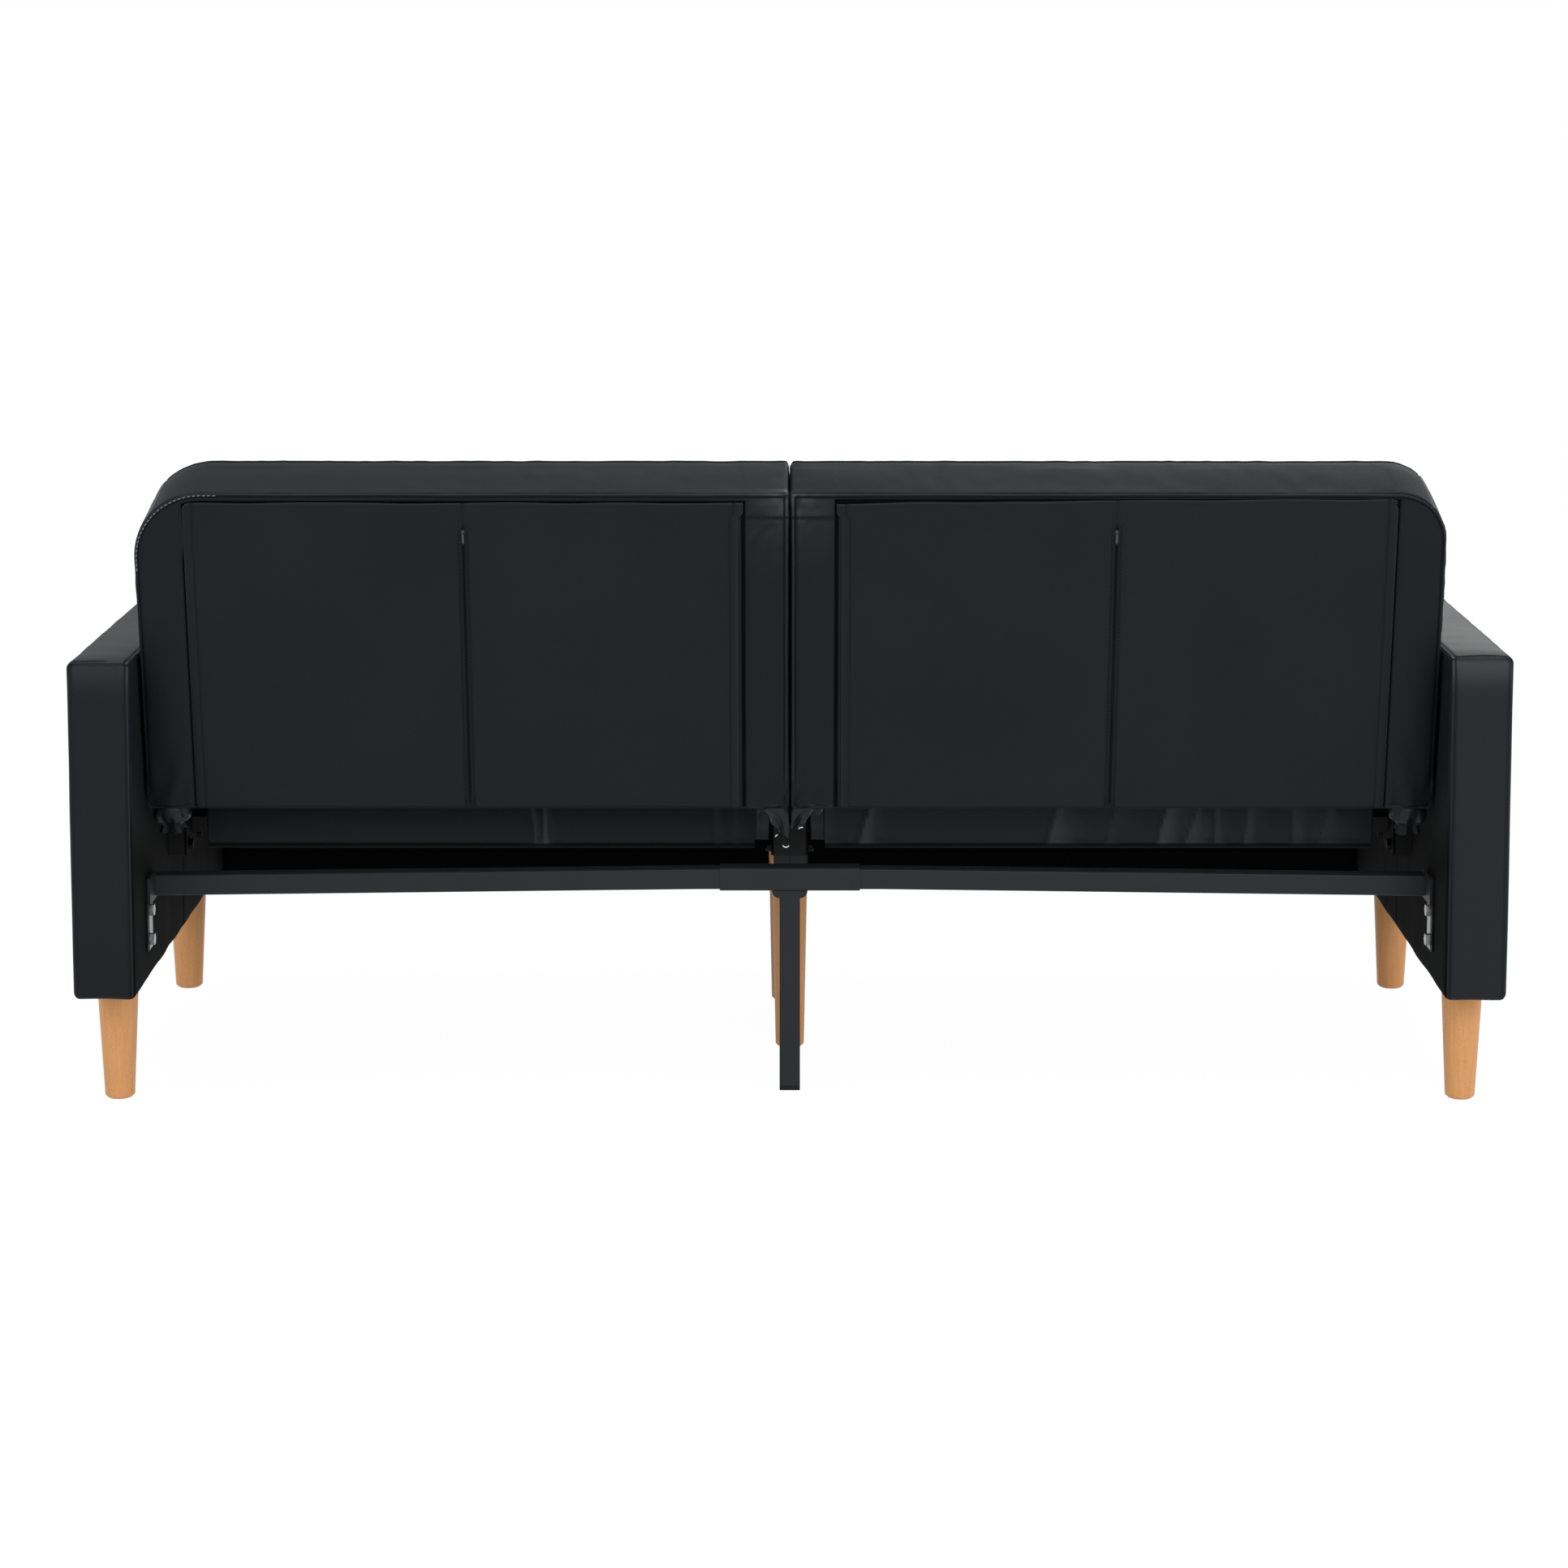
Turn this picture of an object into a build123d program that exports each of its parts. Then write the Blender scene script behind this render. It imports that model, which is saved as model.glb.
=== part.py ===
from build123d import *
import os
from math import atan2, cos, degrees, hypot, radians, sin

os.makedirs("parts", exist_ok=True)

# Split-back sofa bed, in millimetres. +X is the sitter's left, -Y the front and Z up.
# The origin is on the floor under the middle of the sofa. The left half is modelled,
# and the right half is its mirror image.

# Whole sofa
overall_width = 1700.0
arm_depth = 716.0
seat_top = 400.0
centre_gap = 4.0
side_gap = 4.0

# Arms: a wooden core between two boards, under a padded cover
arm_thickness = 74.0
arm_top = 548.0
arm_leg_height = 143.0
arm_edge_radius = 10.0
arm_top_radius = 8.0
arm_cover_wall = 6.0
arm_board_thickness = 3.0
arm_rail_width = 40.0

# Turned legs
arm_leg_top_diameter = 50.0
arm_leg_foot_diameter = 35.5
arm_leg_inset = 93.0
centre_leg_top_diameter = 46.0
centre_leg_foot_diameter = 36.0
leg_foot_bevel = 3.0
plate_corner_radius = 4.0
centre_rear_leg_inset = 71.0
centre_front_leg_inset = 133.5
centre_front_leg_shift = 6.0
centre_plate_width = 60.0
centre_plate_length = 70.0
centre_plate_thickness = 3.0

# Threaded fasteners
bolt_diameter = 8.0
bolt_clearance = 0.2
bolt_head_width = 13.0
bolt_head_height = 5.3
insert_diameter = 12.0
insert_length = 25.0
hanger_depth = 40.0
screw_diameter = 6.0
screw_length = 34.0
arm_bolt_front_inset = 90.0
arm_bolt_rear_inset = 150.0

# Seat: steel frame, slats and a padded cushion for each half
seat_underside = 282.0
seat_front_inset = 6.0
seat_crown = 10.0
seat_crown_rise = 5.0
seat_corner_radius = 18.0
seat_edge_bevel = 8.0
seat_draw_in = 4.0
seat_rear_wall = 38.0
seat_front_wall = 18.0
seat_frame_drop = 20.0
frame_tube_width = 20.0
frame_tube_height = 40.0
frame_rail_size = 20.0
tube_wall = 1.5
frame_joint_gap = 0.25
frame_post_drop = 30.0
slat_count = 7
slat_width = 55.0
slat_thickness = 8.0
seat_flap_thickness = 10.0
fit_gap = 0.5

# Front apron
apron_board_thickness = 12.0
apron_pad_thickness = 8.0
apron_lining_thickness = 2.5
apron_top_gap = 1.0
apron_drop = 14.0
apron_edge_radius = 6.0

# Backs
back_lean = 11.0
back_thickness = 120.0
back_length = 394.0
back_crown = 10.0
back_crown_rise = 3.3
back_draw_in = 2.0
back_outer_corner_radius = 78.0
back_inner_corner_radius = 9.0
back_edge_bevel = 6.0
back_border_depth = 5.0
back_frame_top_inset = 39.0
back_frame_bottom_inset = 11.0
back_stile_count = 4
webbing_count = 4
webbing_width = 50.0
webbing_thickness = 1.5

# Rear panel of each back, with its zip
panel_top_inset = 12.0
panel_outer_inset = 59.0
panel_inner_inset = 53.0
panel_recess = 0.5
panel_corner_radius = 4.0
zip_width = 8.0
zip_top_inset = 30.0
zip_bottom_inset = 4.0
zip_tape_thickness = 1.2
zip_slider_width = 5.0
zip_slider_length = 8.0
zip_slider_thickness = 2.6
zip_lug_height = 1.2
zip_pull_length = 12.0
zip_pull_width = 3.0
zip_pull_thickness = 1.0

# Click-clack hinges
hinge_inset = 190.0
pivot_depth = 15.0
pivot_rise = 5.0
hinge_notch = 38.0
hinge_notch_rise = 36.0
hinge_notch_depth = 35.0
hinge_plate = 3.0
hinge_plate_gap = 1.0
hinge_disc_diameter = 40.0
hinge_neck_width = 22.0
hinge_stand_inset = 64.0
hinge_stand_width = 42.0
hinge_foot_length = 104.0
hinge_drum_thickness = 12.0
pivot_diameter = 10.0
pivot_clearance = 0.3
pivot_head_diameter = 16.0
pivot_head_height = 2.5
back_arm_reach = 60.0
back_arm_length = 180.0
back_arm_width = 18.0
gather_drop = 52.0
gather_width = 33.0
gather_depth = 42.0

# Rear rail, its centre leg and its brackets
rail_inset = 130.0
rail_size = 25.0
rail_clearance = 5.0
rail_drop = 8.0
rail_corner_radius = 2.0
rail_joint_gap = 0.5
sleeve_length = 170.0
sleeve_clearance = 0.2
rail_flange_width = 54.0
rail_flange_height = 32.0
rail_flange_thickness = 3.0
bracket_width = 34.0
bracket_height = 89.0
bracket_thickness = 3.0
bracket_setback = 33.0
bracket_screw_inset = 12.0
bracket_screw_spacing = 36.0
steel_leg_flare = 9.0
steel_foot_height = 6.0
steel_foot_plug = 20.0

# Places that follow from the sizes above
half_width = overall_width / 2
rear_plane = arm_depth / 2
arm_inner = half_width - arm_thickness
arm_middle = half_width - arm_thickness / 2
core_inner = arm_inner + arm_cover_wall
core_frame_inner = core_inner + arm_board_thickness
core_frame_thickness = arm_thickness - 2 * arm_cover_wall - 2 * arm_board_thickness
core_depth = arm_depth - 2 * arm_cover_wall
core_top = arm_top - arm_cover_wall
arm_leg_place = rear_plane - arm_leg_inset
seat_inner = centre_gap / 2
seat_outer = arm_inner - side_gap
seat_front = -rear_plane + seat_front_inset
hinge_y = rear_plane - hinge_inset
hinge_z = seat_top - pivot_depth
seat_rear = hinge_y - hinge_stand_inset + seat_rear_wall + fit_gap
frame_low = seat_underside - seat_frame_drop
frame_top = frame_low + frame_tube_height
frame_front = seat_front + seat_front_wall + fit_gap
frame_rear = hinge_y - hinge_stand_inset
slat_top = frame_top + slat_thickness
bolt_level = (frame_low + frame_top) / 2
back_rear = pivot_depth - back_thickness
back_bottom = -pivot_rise
back_top = back_bottom + back_length
rail_y = rear_plane - rail_inset
rail_top = hinge_z + back_rear - rail_clearance
rail_end_top = rail_top - rail_drop
bracket_y = rail_y + bracket_setback
bracket_top = rail_end_top + (rail_flange_height - rail_size) / 2
flange_outer = arm_inner - bracket_thickness
bolt_hole = bolt_diameter + bolt_clearance
screw_hole = screw_diameter + bolt_clearance
arm_bolt_places = [(frame_front + arm_bolt_front_inset, bolt_level),
                   (frame_rear - arm_bolt_rear_inset, bolt_level)]
low_screw = bracket_top - bracket_height + bracket_screw_inset
bracket_screw_places = [(bracket_y, low_screw), (bracket_y, low_screw + bracket_screw_spacing)]

# The back's own plane: x along the sofa, y up the back, z out of its front face
lean = radians(back_lean)
back_front_direction = (0, -cos(lean), sin(lean))
back_up_direction = (0, sin(lean), cos(lean))
back_plane = Plane((0, hinge_y, hinge_z), x_dir=(1, 0, 0), z_dir=back_front_direction)


def back_side_plane(x):
    """Plane across the back at x: its own x runs up the back and its y out of the front."""
    return Plane((x, hinge_y, hinge_z), x_dir=back_up_direction, z_dir=(1, 0, 0))


def bar_between(start, end, width):
    """Round-ended bar of a plate outline, from one point to another."""
    run = hypot(end[0] - start[0], end[1] - start[1])
    turn = degrees(atan2(end[1] - start[1], end[0] - start[0]))
    with Locations(((start[0] + end[0]) / 2, (start[1] + end[1]) / 2)):
        SlotCenterToCenter(run, width, rotation=turn)


def rods(plane, places, diameter, length, mode=Mode.ADD):
    """Round rods, or with subtract round holes, that stand on a plane."""
    with BuildSketch(plane, mode=Mode.PRIVATE) as section:
        with Locations(*places):
            Circle(diameter / 2)
    extrude(section.sketch, amount=length, mode=mode)


def hex_heads(plane, places, width, height):
    """Hexagon bolt heads that stand on a plane."""
    with BuildSketch(plane, mode=Mode.PRIVATE) as section:
        with Locations(*places):
            RegularPolygon(width / 2, 6, major_radius=False)
    extrude(section.sketch, amount=height)


def block(plane, low, high, length, mode=Mode.ADD):
    """Block on a plane, between two corners of its outline."""
    with BuildSketch(plane, mode=Mode.PRIVATE) as section:
        with Locations(((low[0] + high[0]) / 2, (low[1] + high[1]) / 2)):
            Rectangle(high[0] - low[0], high[1] - low[1])
    extrude(section.sketch, amount=length, mode=mode)


def drawn_in_outline(low, high, draw_in):
    """Four-sided outline whose sides are drawn in a little between the corners."""
    middle = ((low[0] + high[0]) / 2, (low[1] + high[1]) / 2)
    ThreePointArc((low[0], low[1]), (middle[0], low[1] + draw_in), (high[0], low[1]))
    ThreePointArc((high[0], low[1]), (high[0] - draw_in, middle[1]), (high[0], high[1]))
    ThreePointArc((high[0], high[1]), (middle[0], high[1] - draw_in), (low[0], high[1]))
    ThreePointArc((low[0], high[1]), (low[0] + draw_in, middle[1]), (low[0], low[1]))


def crown_ball(width, length, crown):
    """Radius of the ball whose cap stands as high as the crown over a cushion's corners."""
    reach = hypot(width / 2, length / 2)
    return (reach**2 + crown**2) / (2 * crown)


# Arms
with BuildPart() as left_arm_cover:
    with BuildSketch(Plane.XY.offset(arm_leg_height)):
        with Locations((arm_middle, 0)):
            RectangleRounded(arm_thickness, arm_depth, arm_edge_radius)
    extrude(amount=arm_top - arm_leg_height)
    fillet(left_arm_cover.faces().sort_by(Axis.Z)[-1].edges(), radius=arm_top_radius)
    with BuildSketch(Plane.XY.offset(arm_leg_height)):
        with Locations((arm_middle, 0)):
            Rectangle(arm_thickness - 2 * arm_cover_wall, core_depth)
    extrude(amount=core_top - arm_leg_height, mode=Mode.SUBTRACT)
    rods(Plane.YZ.offset(arm_inner), arm_bolt_places, bolt_hole,
         arm_cover_wall, Mode.SUBTRACT)
    rods(Plane.YZ.offset(arm_inner), bracket_screw_places, screw_hole,
         arm_cover_wall, Mode.SUBTRACT)

with BuildPart() as left_arm_boards:
    for board_face in (core_inner, half_width - arm_cover_wall - arm_board_thickness):
        block(Plane.YZ.offset(board_face), (-core_depth / 2, arm_leg_height),
              (core_depth / 2, core_top), arm_board_thickness)
    rods(Plane.YZ.offset(core_inner), arm_bolt_places, bolt_hole,
         arm_board_thickness, Mode.SUBTRACT)
    rods(Plane.YZ.offset(core_inner), bracket_screw_places, screw_hole,
         arm_board_thickness, Mode.SUBTRACT)

core_end = (core_depth - arm_rail_width) / 2
core_posts = [-core_end, -bracket_y, -bracket_y / 3, bracket_y / 3, bracket_y, core_end]
core_rails = [arm_leg_height + arm_rail_width / 2, bolt_level, core_top - arm_rail_width / 2]
arm_leg_places = [(arm_middle, -arm_leg_place), (arm_middle, arm_leg_place)]
centre_rear_leg_place = frame_rear - centre_rear_leg_inset
centre_front_leg_place = frame_front + centre_front_leg_inset

with BuildPart() as left_arm_frame:
    with BuildSketch(Plane.YZ.offset(core_frame_inner)):
        with Locations((0, (arm_leg_height + core_top) / 2)):
            Rectangle(core_depth, core_top - arm_leg_height)
        for low_rail, high_rail in zip(core_rails, core_rails[1:]):
            for near_post, far_post in zip(core_posts, core_posts[1:]):
                with Locations(((near_post + far_post) / 2, (low_rail + high_rail) / 2)):
                    Rectangle(far_post - near_post - arm_rail_width,
                              high_rail - low_rail - arm_rail_width, mode=Mode.SUBTRACT)
    extrude(amount=core_frame_thickness)
    rods(Plane.YZ.offset(core_frame_inner), arm_bolt_places, insert_diameter,
         core_frame_thickness, Mode.SUBTRACT)
    rods(Plane.YZ.offset(core_frame_inner), bracket_screw_places,
         screw_hole, screw_length, Mode.SUBTRACT)
    rods(Plane.XY.offset(arm_leg_height), arm_leg_places, insert_diameter, arm_rail_width,
         Mode.SUBTRACT)

with BuildPart() as threaded_inserts:
    rods(Plane.YZ.offset(core_frame_inner), arm_bolt_places, insert_diameter, insert_length)
    rods(Plane.YZ.offset(core_frame_inner), arm_bolt_places, bolt_hole,
         insert_length, Mode.SUBTRACT)
    rods(Plane.XY.offset(arm_leg_height), arm_leg_places, insert_diameter, insert_length)
    rods(Plane.XY.offset(arm_leg_height), arm_leg_places, bolt_hole,
         insert_length, Mode.SUBTRACT)
    mirror(about=Plane.YZ)


# Turned legs, each with a hole for its hanger bolt
def turned_leg(x, y, height, top_diameter, foot_diameter):
    """Leg that tapers to a bevelled foot, standing on the floor at x, y."""
    leg_plane = Plane((x, y, 0), x_dir=(1, 0, 0), z_dir=(0, -1, 0))
    with BuildSketch(leg_plane, mode=Mode.PRIVATE) as profile:
        with BuildLine():
            Polyline((0, 0), (foot_diameter / 2, 0), (top_diameter / 2, height), (0, height),
                     close=True)
        make_face()
        chamfer(profile.vertices().group_by(Axis.Y)[0].sort_by(Axis.X)[-1], leg_foot_bevel)
    revolve(profile.sketch, axis=Axis((x, y, 0), (0, 0, 1)))
    rods(Plane.XY.offset(height - hanger_depth), [(x, y)], bolt_hole,
         hanger_depth, Mode.SUBTRACT)


with BuildPart() as left_rear_leg:
    turned_leg(arm_middle, arm_leg_place, arm_leg_height, arm_leg_top_diameter,
               arm_leg_foot_diameter)

with BuildPart() as left_front_leg:
    turned_leg(arm_middle, -arm_leg_place, arm_leg_height, arm_leg_top_diameter,
               arm_leg_foot_diameter)

centre_leg_height = frame_low - centre_plate_thickness

with BuildPart() as centre_rear_leg:
    turned_leg(0, centre_rear_leg_place, centre_leg_height, centre_leg_top_diameter,
               centre_leg_foot_diameter)

with BuildPart() as centre_front_leg:
    turned_leg(centre_front_leg_shift, centre_front_leg_place, centre_leg_height,
               centre_leg_top_diameter, centre_leg_foot_diameter)

centre_leg_places = [(0, centre_rear_leg_place), (centre_front_leg_shift, centre_front_leg_place)]

with BuildPart() as centre_leg_plates:
    with BuildSketch(Plane.XY.offset(centre_leg_height)):
        with Locations(*centre_leg_places):
            RectangleRounded(centre_plate_width, centre_plate_length, plate_corner_radius)
            Circle(bolt_hole / 2, mode=Mode.SUBTRACT)
    extrude(amount=centre_plate_thickness)

with BuildPart() as leg_hanger_bolts:
    rods(Plane.XY.offset(arm_leg_height - hanger_depth), arm_leg_places, bolt_diameter,
         hanger_depth + insert_length)
    mirror(about=Plane.YZ)
    rods(Plane.XY.offset(centre_leg_height - hanger_depth), centre_leg_places, bolt_diameter,
         hanger_depth + centre_plate_thickness)


# Rear rail: two half tubes in a sleeve, which a steel leg holds up
def rail_outline(inset):
    """Side view of a half rail, level in the sleeve and then falling to the arm."""
    knee = sleeve_length / 2 + rail_size
    end = flange_outer - rail_flange_thickness
    low = rail_top - rail_size + inset
    high = rail_top - inset
    Polyline((rail_joint_gap, low), (knee, low), (end, low - rail_drop),
             (end, high - rail_drop), (knee, high), (rail_joint_gap, high), close=True)


with BuildPart() as left_rear_rail:
    with BuildSketch(Plane.XZ.offset(-rail_y)):
        with BuildLine():
            rail_outline(0)
        make_face()
    extrude(amount=rail_size / 2, both=True)
    long_edges = left_rear_rail.edges().filter_by(lambda edge: edge.length > sleeve_length / 2)
    fillet(long_edges, radius=rail_corner_radius)
    with BuildSketch(Plane.XZ.offset(-rail_y)):
        with BuildLine():
            rail_outline(tube_wall)
        make_face()
    extrude(amount=rail_size / 2 - tube_wall, both=True, mode=Mode.SUBTRACT)
    with BuildSketch(Plane.YZ.offset(flange_outer)):
        with Locations((bracket_y + bracket_width / 2 - rail_flange_width / 2 - rail_corner_radius,
                        bracket_top - rail_flange_height / 2)):
            RectangleRounded(rail_flange_width, rail_flange_height, rail_corner_radius)
    extrude(amount=-rail_flange_thickness)

sleeve_bore = rail_size + 2 * sleeve_clearance
sleeve_size = sleeve_bore + 2 * tube_wall
sleeve_low = rail_top - rail_size / 2 - sleeve_size / 2

with BuildPart() as rail_sleeve:
    with BuildSketch(Plane.YZ.offset(-sleeve_length / 2)):
        with Locations((rail_y, rail_top - rail_size / 2)):
            RectangleRounded(sleeve_size, sleeve_size, rail_corner_radius + tube_wall)
            Rectangle(sleeve_bore, sleeve_bore, mode=Mode.SUBTRACT)
    extrude(amount=sleeve_length)

with BuildPart() as rear_centre_leg:
    with BuildSketch(Plane.XZ.offset(-rail_y)):
        with BuildLine():
            flare_start = (rail_size / 2, sleeve_low - steel_leg_flare)
            flare_end = (rail_size / 2 + steel_leg_flare, sleeve_low)
            Polyline((0, steel_foot_height), (rail_size / 2, steel_foot_height), flare_start)
            RadiusArc(flare_start, flare_end, -steel_leg_flare)
            Polyline(flare_end, (0, sleeve_low))
            mirror(about=Plane.YZ)
        make_face()
    extrude(amount=rail_size / 2, both=True)
    upright = rear_centre_leg.edges().filter_by(Axis.Z)
    fillet(upright, radius=rail_corner_radius)
    bore = rail_size - 2 * tube_wall
    block(Plane.XY.offset(steel_foot_height), (-bore / 2, rail_y - bore / 2),
          (bore / 2, rail_y + bore / 2), sleeve_low - steel_foot_height - tube_wall, Mode.SUBTRACT)

with BuildPart() as steel_leg_foot:
    with BuildSketch(Plane.XY):
        with Locations((0, rail_y)):
            RectangleRounded(rail_size, rail_size, rail_corner_radius)
    extrude(amount=steel_foot_height)
    plug = rail_size - 2 * tube_wall - 2 * sleeve_clearance
    block(Plane.XY.offset(steel_foot_height), (-plug / 2, rail_y - plug / 2),
          (plug / 2, rail_y + plug / 2), steel_foot_plug)

with BuildPart() as left_rail_bracket:
    with BuildSketch(Plane.YZ.offset(flange_outer)):
        with Locations((bracket_y, bracket_top - bracket_height / 2)):
            RectangleRounded(bracket_width, bracket_height, rail_corner_radius)
        with Locations(*bracket_screw_places):
            Circle(screw_hole / 2, mode=Mode.SUBTRACT)
    extrude(amount=bracket_thickness)

with BuildPart() as bracket_screws:
    rods(Plane.YZ.offset(flange_outer), bracket_screw_places, screw_diameter, screw_length)
    hex_heads(Plane((flange_outer, 0, 0), x_dir=(0, -1, 0), z_dir=(-1, 0, 0)),
              [(-y, z) for y, z in bracket_screw_places], bolt_head_width, bolt_head_height)
    mirror(about=Plane.YZ)

# Seat frame: two deep side tubes with three rails between them, and a short post under the
# rear end of the inner tube
hinge_foot_height = frame_tube_height - frame_rail_size - fit_gap
hinge_foot_level = frame_low + hinge_foot_height / 2
hinge_bolt_y = [frame_rear - hinge_stand_width / 2, frame_rear - hinge_foot_length + bolt_head_width]
hinge_bolt_places = [(y, hinge_foot_level) for y in hinge_bolt_y]
tube_faces = [frame_joint_gap, arm_inner - frame_tube_width]
post_place = (frame_joint_gap + frame_tube_width / 2, frame_rear - frame_rail_size / 2)
post_low = frame_low - frame_post_drop
last_row = frame_rear - hinge_stand_width - fit_gap - frame_rail_size
rail_rows = [frame_front, (frame_front + last_row) / 2, last_row]
rail_low = frame_top - frame_rail_size

with BuildPart() as left_seat_frame:
    for tube_face in tube_faces:
        with BuildSketch(Plane.XZ.offset(-frame_front)):
            with Locations((tube_face + frame_tube_width / 2, bolt_level)):
                Rectangle(frame_tube_width, frame_tube_height)
                Rectangle(frame_tube_width - 2 * tube_wall, frame_tube_height - 2 * tube_wall,
                          mode=Mode.SUBTRACT)
        extrude(amount=frame_front - frame_rear)
    for rail_row in rail_rows:
        with BuildSketch(Plane.YZ.offset(frame_joint_gap + frame_tube_width)):
            with Locations((rail_row + frame_rail_size / 2, rail_low + frame_rail_size / 2)):
                Rectangle(frame_rail_size, frame_rail_size)
                Rectangle(frame_rail_size - 2 * tube_wall, frame_rail_size - 2 * tube_wall,
                          mode=Mode.SUBTRACT)
        extrude(amount=arm_inner - frame_joint_gap - 2 * frame_tube_width)
    with BuildSketch(Plane.XY.offset(post_low)):
        with Locations(post_place):
            Rectangle(frame_tube_width, frame_rail_size)
            Rectangle(frame_tube_width - 2 * tube_wall, frame_rail_size - 2 * tube_wall,
                      mode=Mode.SUBTRACT)
    extrude(amount=frame_post_drop)
    for tube_face in tube_faces:
        rods(Plane.YZ.offset(tube_face), hinge_bolt_places + arm_bolt_places, bolt_hole,
             frame_tube_width, Mode.SUBTRACT)

with BuildPart() as tube_end_caps:
    for tube_face in tube_faces:
        with BuildSketch(Plane.XZ.offset(-frame_rear)):
            with Locations((tube_face + frame_tube_width / 2, bolt_level)):
                Rectangle(frame_tube_width - 2 * tube_wall - fit_gap,
                          frame_tube_height - 2 * tube_wall - fit_gap)
        extrude(amount=frame_rail_size / 2)
        with BuildSketch(Plane.XZ.offset(-frame_rear)):
            with Locations((tube_face + frame_tube_width / 2, bolt_level)):
                RectangleRounded(frame_tube_width, frame_tube_height, rail_corner_radius)
        extrude(amount=-2 * tube_wall)
    with BuildSketch(Plane.XY.offset(post_low)):
        with Locations(post_place):
            Rectangle(frame_tube_width - 2 * tube_wall - fit_gap,
                      frame_rail_size - 2 * tube_wall - fit_gap)
    extrude(amount=frame_rail_size / 2)
    with BuildSketch(Plane.XY.offset(post_low)):
        with Locations(post_place):
            RectangleRounded(frame_tube_width, frame_rail_size, rail_corner_radius)
    extrude(amount=-2 * tube_wall)
    mirror(about=Plane.YZ)

# Bolts that tie the seat frames to the arms and to each other
with BuildPart() as arm_bolts:
    rods(Plane.YZ.offset(tube_faces[1]), arm_bolt_places, bolt_diameter,
         frame_tube_width + arm_cover_wall + arm_board_thickness + insert_length)
    hex_heads(Plane((tube_faces[1], 0, 0), x_dir=(0, -1, 0), z_dir=(-1, 0, 0)),
              [(-y, z) for y, z in arm_bolt_places], bolt_head_width, bolt_head_height)
    mirror(about=Plane.YZ)

frame_joint = frame_joint_gap + frame_tube_width

with BuildPart() as seat_join_bolts:
    rods(Plane.YZ.offset(-frame_joint), arm_bolt_places, bolt_diameter, 2 * frame_joint)
    hex_heads(Plane.YZ.offset(frame_joint), arm_bolt_places, bolt_head_width, bolt_head_height)
    hex_heads(Plane((-frame_joint, 0, 0), x_dir=(0, -1, 0), z_dir=(-1, 0, 0)),
              [(-y, z) for y, z in arm_bolt_places], bolt_head_width, bolt_head_height)

with BuildPart() as left_seat_slats:
    slat_pitch = (seat_outer - seat_inner - 2 * frame_tube_width) / slat_count
    with BuildSketch(Plane.XY.offset(frame_top)):
        with Locations(((seat_inner + seat_outer) / 2, (frame_front + frame_rear) / 2)):
            with GridLocations(slat_pitch, 0, slat_count, 1):
                RectangleRounded(slat_width, frame_rear - frame_front, slat_thickness)
    extrude(amount=slat_thickness)

# Seat cushion: crowned, drawn in at the sides, open below for the frame and slats
seat_width = seat_outer - seat_inner
seat_depth = seat_rear - seat_front
seat_ball = crown_ball(seat_width, seat_depth, seat_crown)
seat_middle = ((seat_inner + seat_outer) / 2, (seat_front + seat_rear) / 2)
notch_top = seat_top - seat_flap_thickness
notch_front = frame_rear - hinge_stand_width - 2 * fit_gap

with BuildPart() as left_seat_cushion:
    with BuildSketch(Plane.XY.offset(seat_underside)) as seat_outline:
        with BuildLine():
            drawn_in_outline((seat_inner, seat_front), (seat_outer, seat_rear), seat_draw_in)
        make_face()
        fillet(seat_outline.vertices(), seat_corner_radius)
    extrude(amount=seat_top + seat_crown - seat_underside)
    with Locations((seat_middle[0], seat_middle[1], seat_top + seat_crown_rise - seat_ball)):
        Sphere(seat_ball, rotation=(90, 0, 0), mode=Mode.INTERSECT)
    chamfer(left_seat_cushion.faces().sort_by(Axis.Z)[-1].edges(), seat_edge_bevel)
    block(Plane.XY.offset(seat_underside), (seat_inner - side_gap, frame_front - fit_gap),
          (seat_outer + side_gap, frame_rear + fit_gap), slat_top + fit_gap - seat_underside,
          Mode.SUBTRACT)
    for notch_low, notch_high in ((seat_inner - side_gap, seat_inner + hinge_notch),
                                  (seat_outer - hinge_notch, seat_outer + side_gap)):
        block(Plane.XY.offset(seat_underside), (notch_low, notch_front),
              (notch_high, seat_rear + side_gap), notch_top - seat_underside, Mode.SUBTRACT)

# Front apron: a plywood board in a padded cover with a lining behind
apron_inner = frame_joint_gap
apron_outer = arm_inner - frame_joint_gap
apron_rear = frame_front
apron_board_rear = apron_rear - apron_lining_thickness
apron_board_front = apron_board_rear - apron_board_thickness
apron_front = apron_board_front - apron_pad_thickness
apron_top = seat_underside - apron_top_gap
apron_low = arm_leg_height - apron_drop
apron_board_low = apron_low + apron_lining_thickness

with BuildPart() as left_apron_board:
    block(Plane.YZ.offset(apron_inner), (apron_board_front, apron_board_low),
          (apron_board_rear, apron_top), apron_outer - apron_inner)

with BuildPart() as left_apron_cover:
    block(Plane.YZ.offset(apron_inner), (apron_front, apron_low), (apron_rear, apron_top),
          apron_outer - apron_inner)
    front_face = left_apron_cover.faces().sort_by(Axis.Y)[0]
    fillet(front_face.edges(), apron_edge_radius)
    block(Plane.YZ.offset(apron_inner), (apron_board_front, apron_board_low),
          (apron_board_rear, apron_top), apron_outer - apron_inner, Mode.SUBTRACT)

# Click-clack hinges: one at each end of a half. Each has a fixed arm on the seat frame,
# with the drum that holds its ratchet, and a swinging arm on the back frame.
hinge_faces = [(frame_joint_gap + frame_tube_width, 1), (arm_inner - frame_tube_width, -1)]
back_arm_offset = hinge_plate + hinge_plate_gap
neck_foot = (frame_rear - hinge_stand_width / 2, hinge_z - hinge_notch_depth)
pivot_point = (hinge_y, hinge_z)

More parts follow.
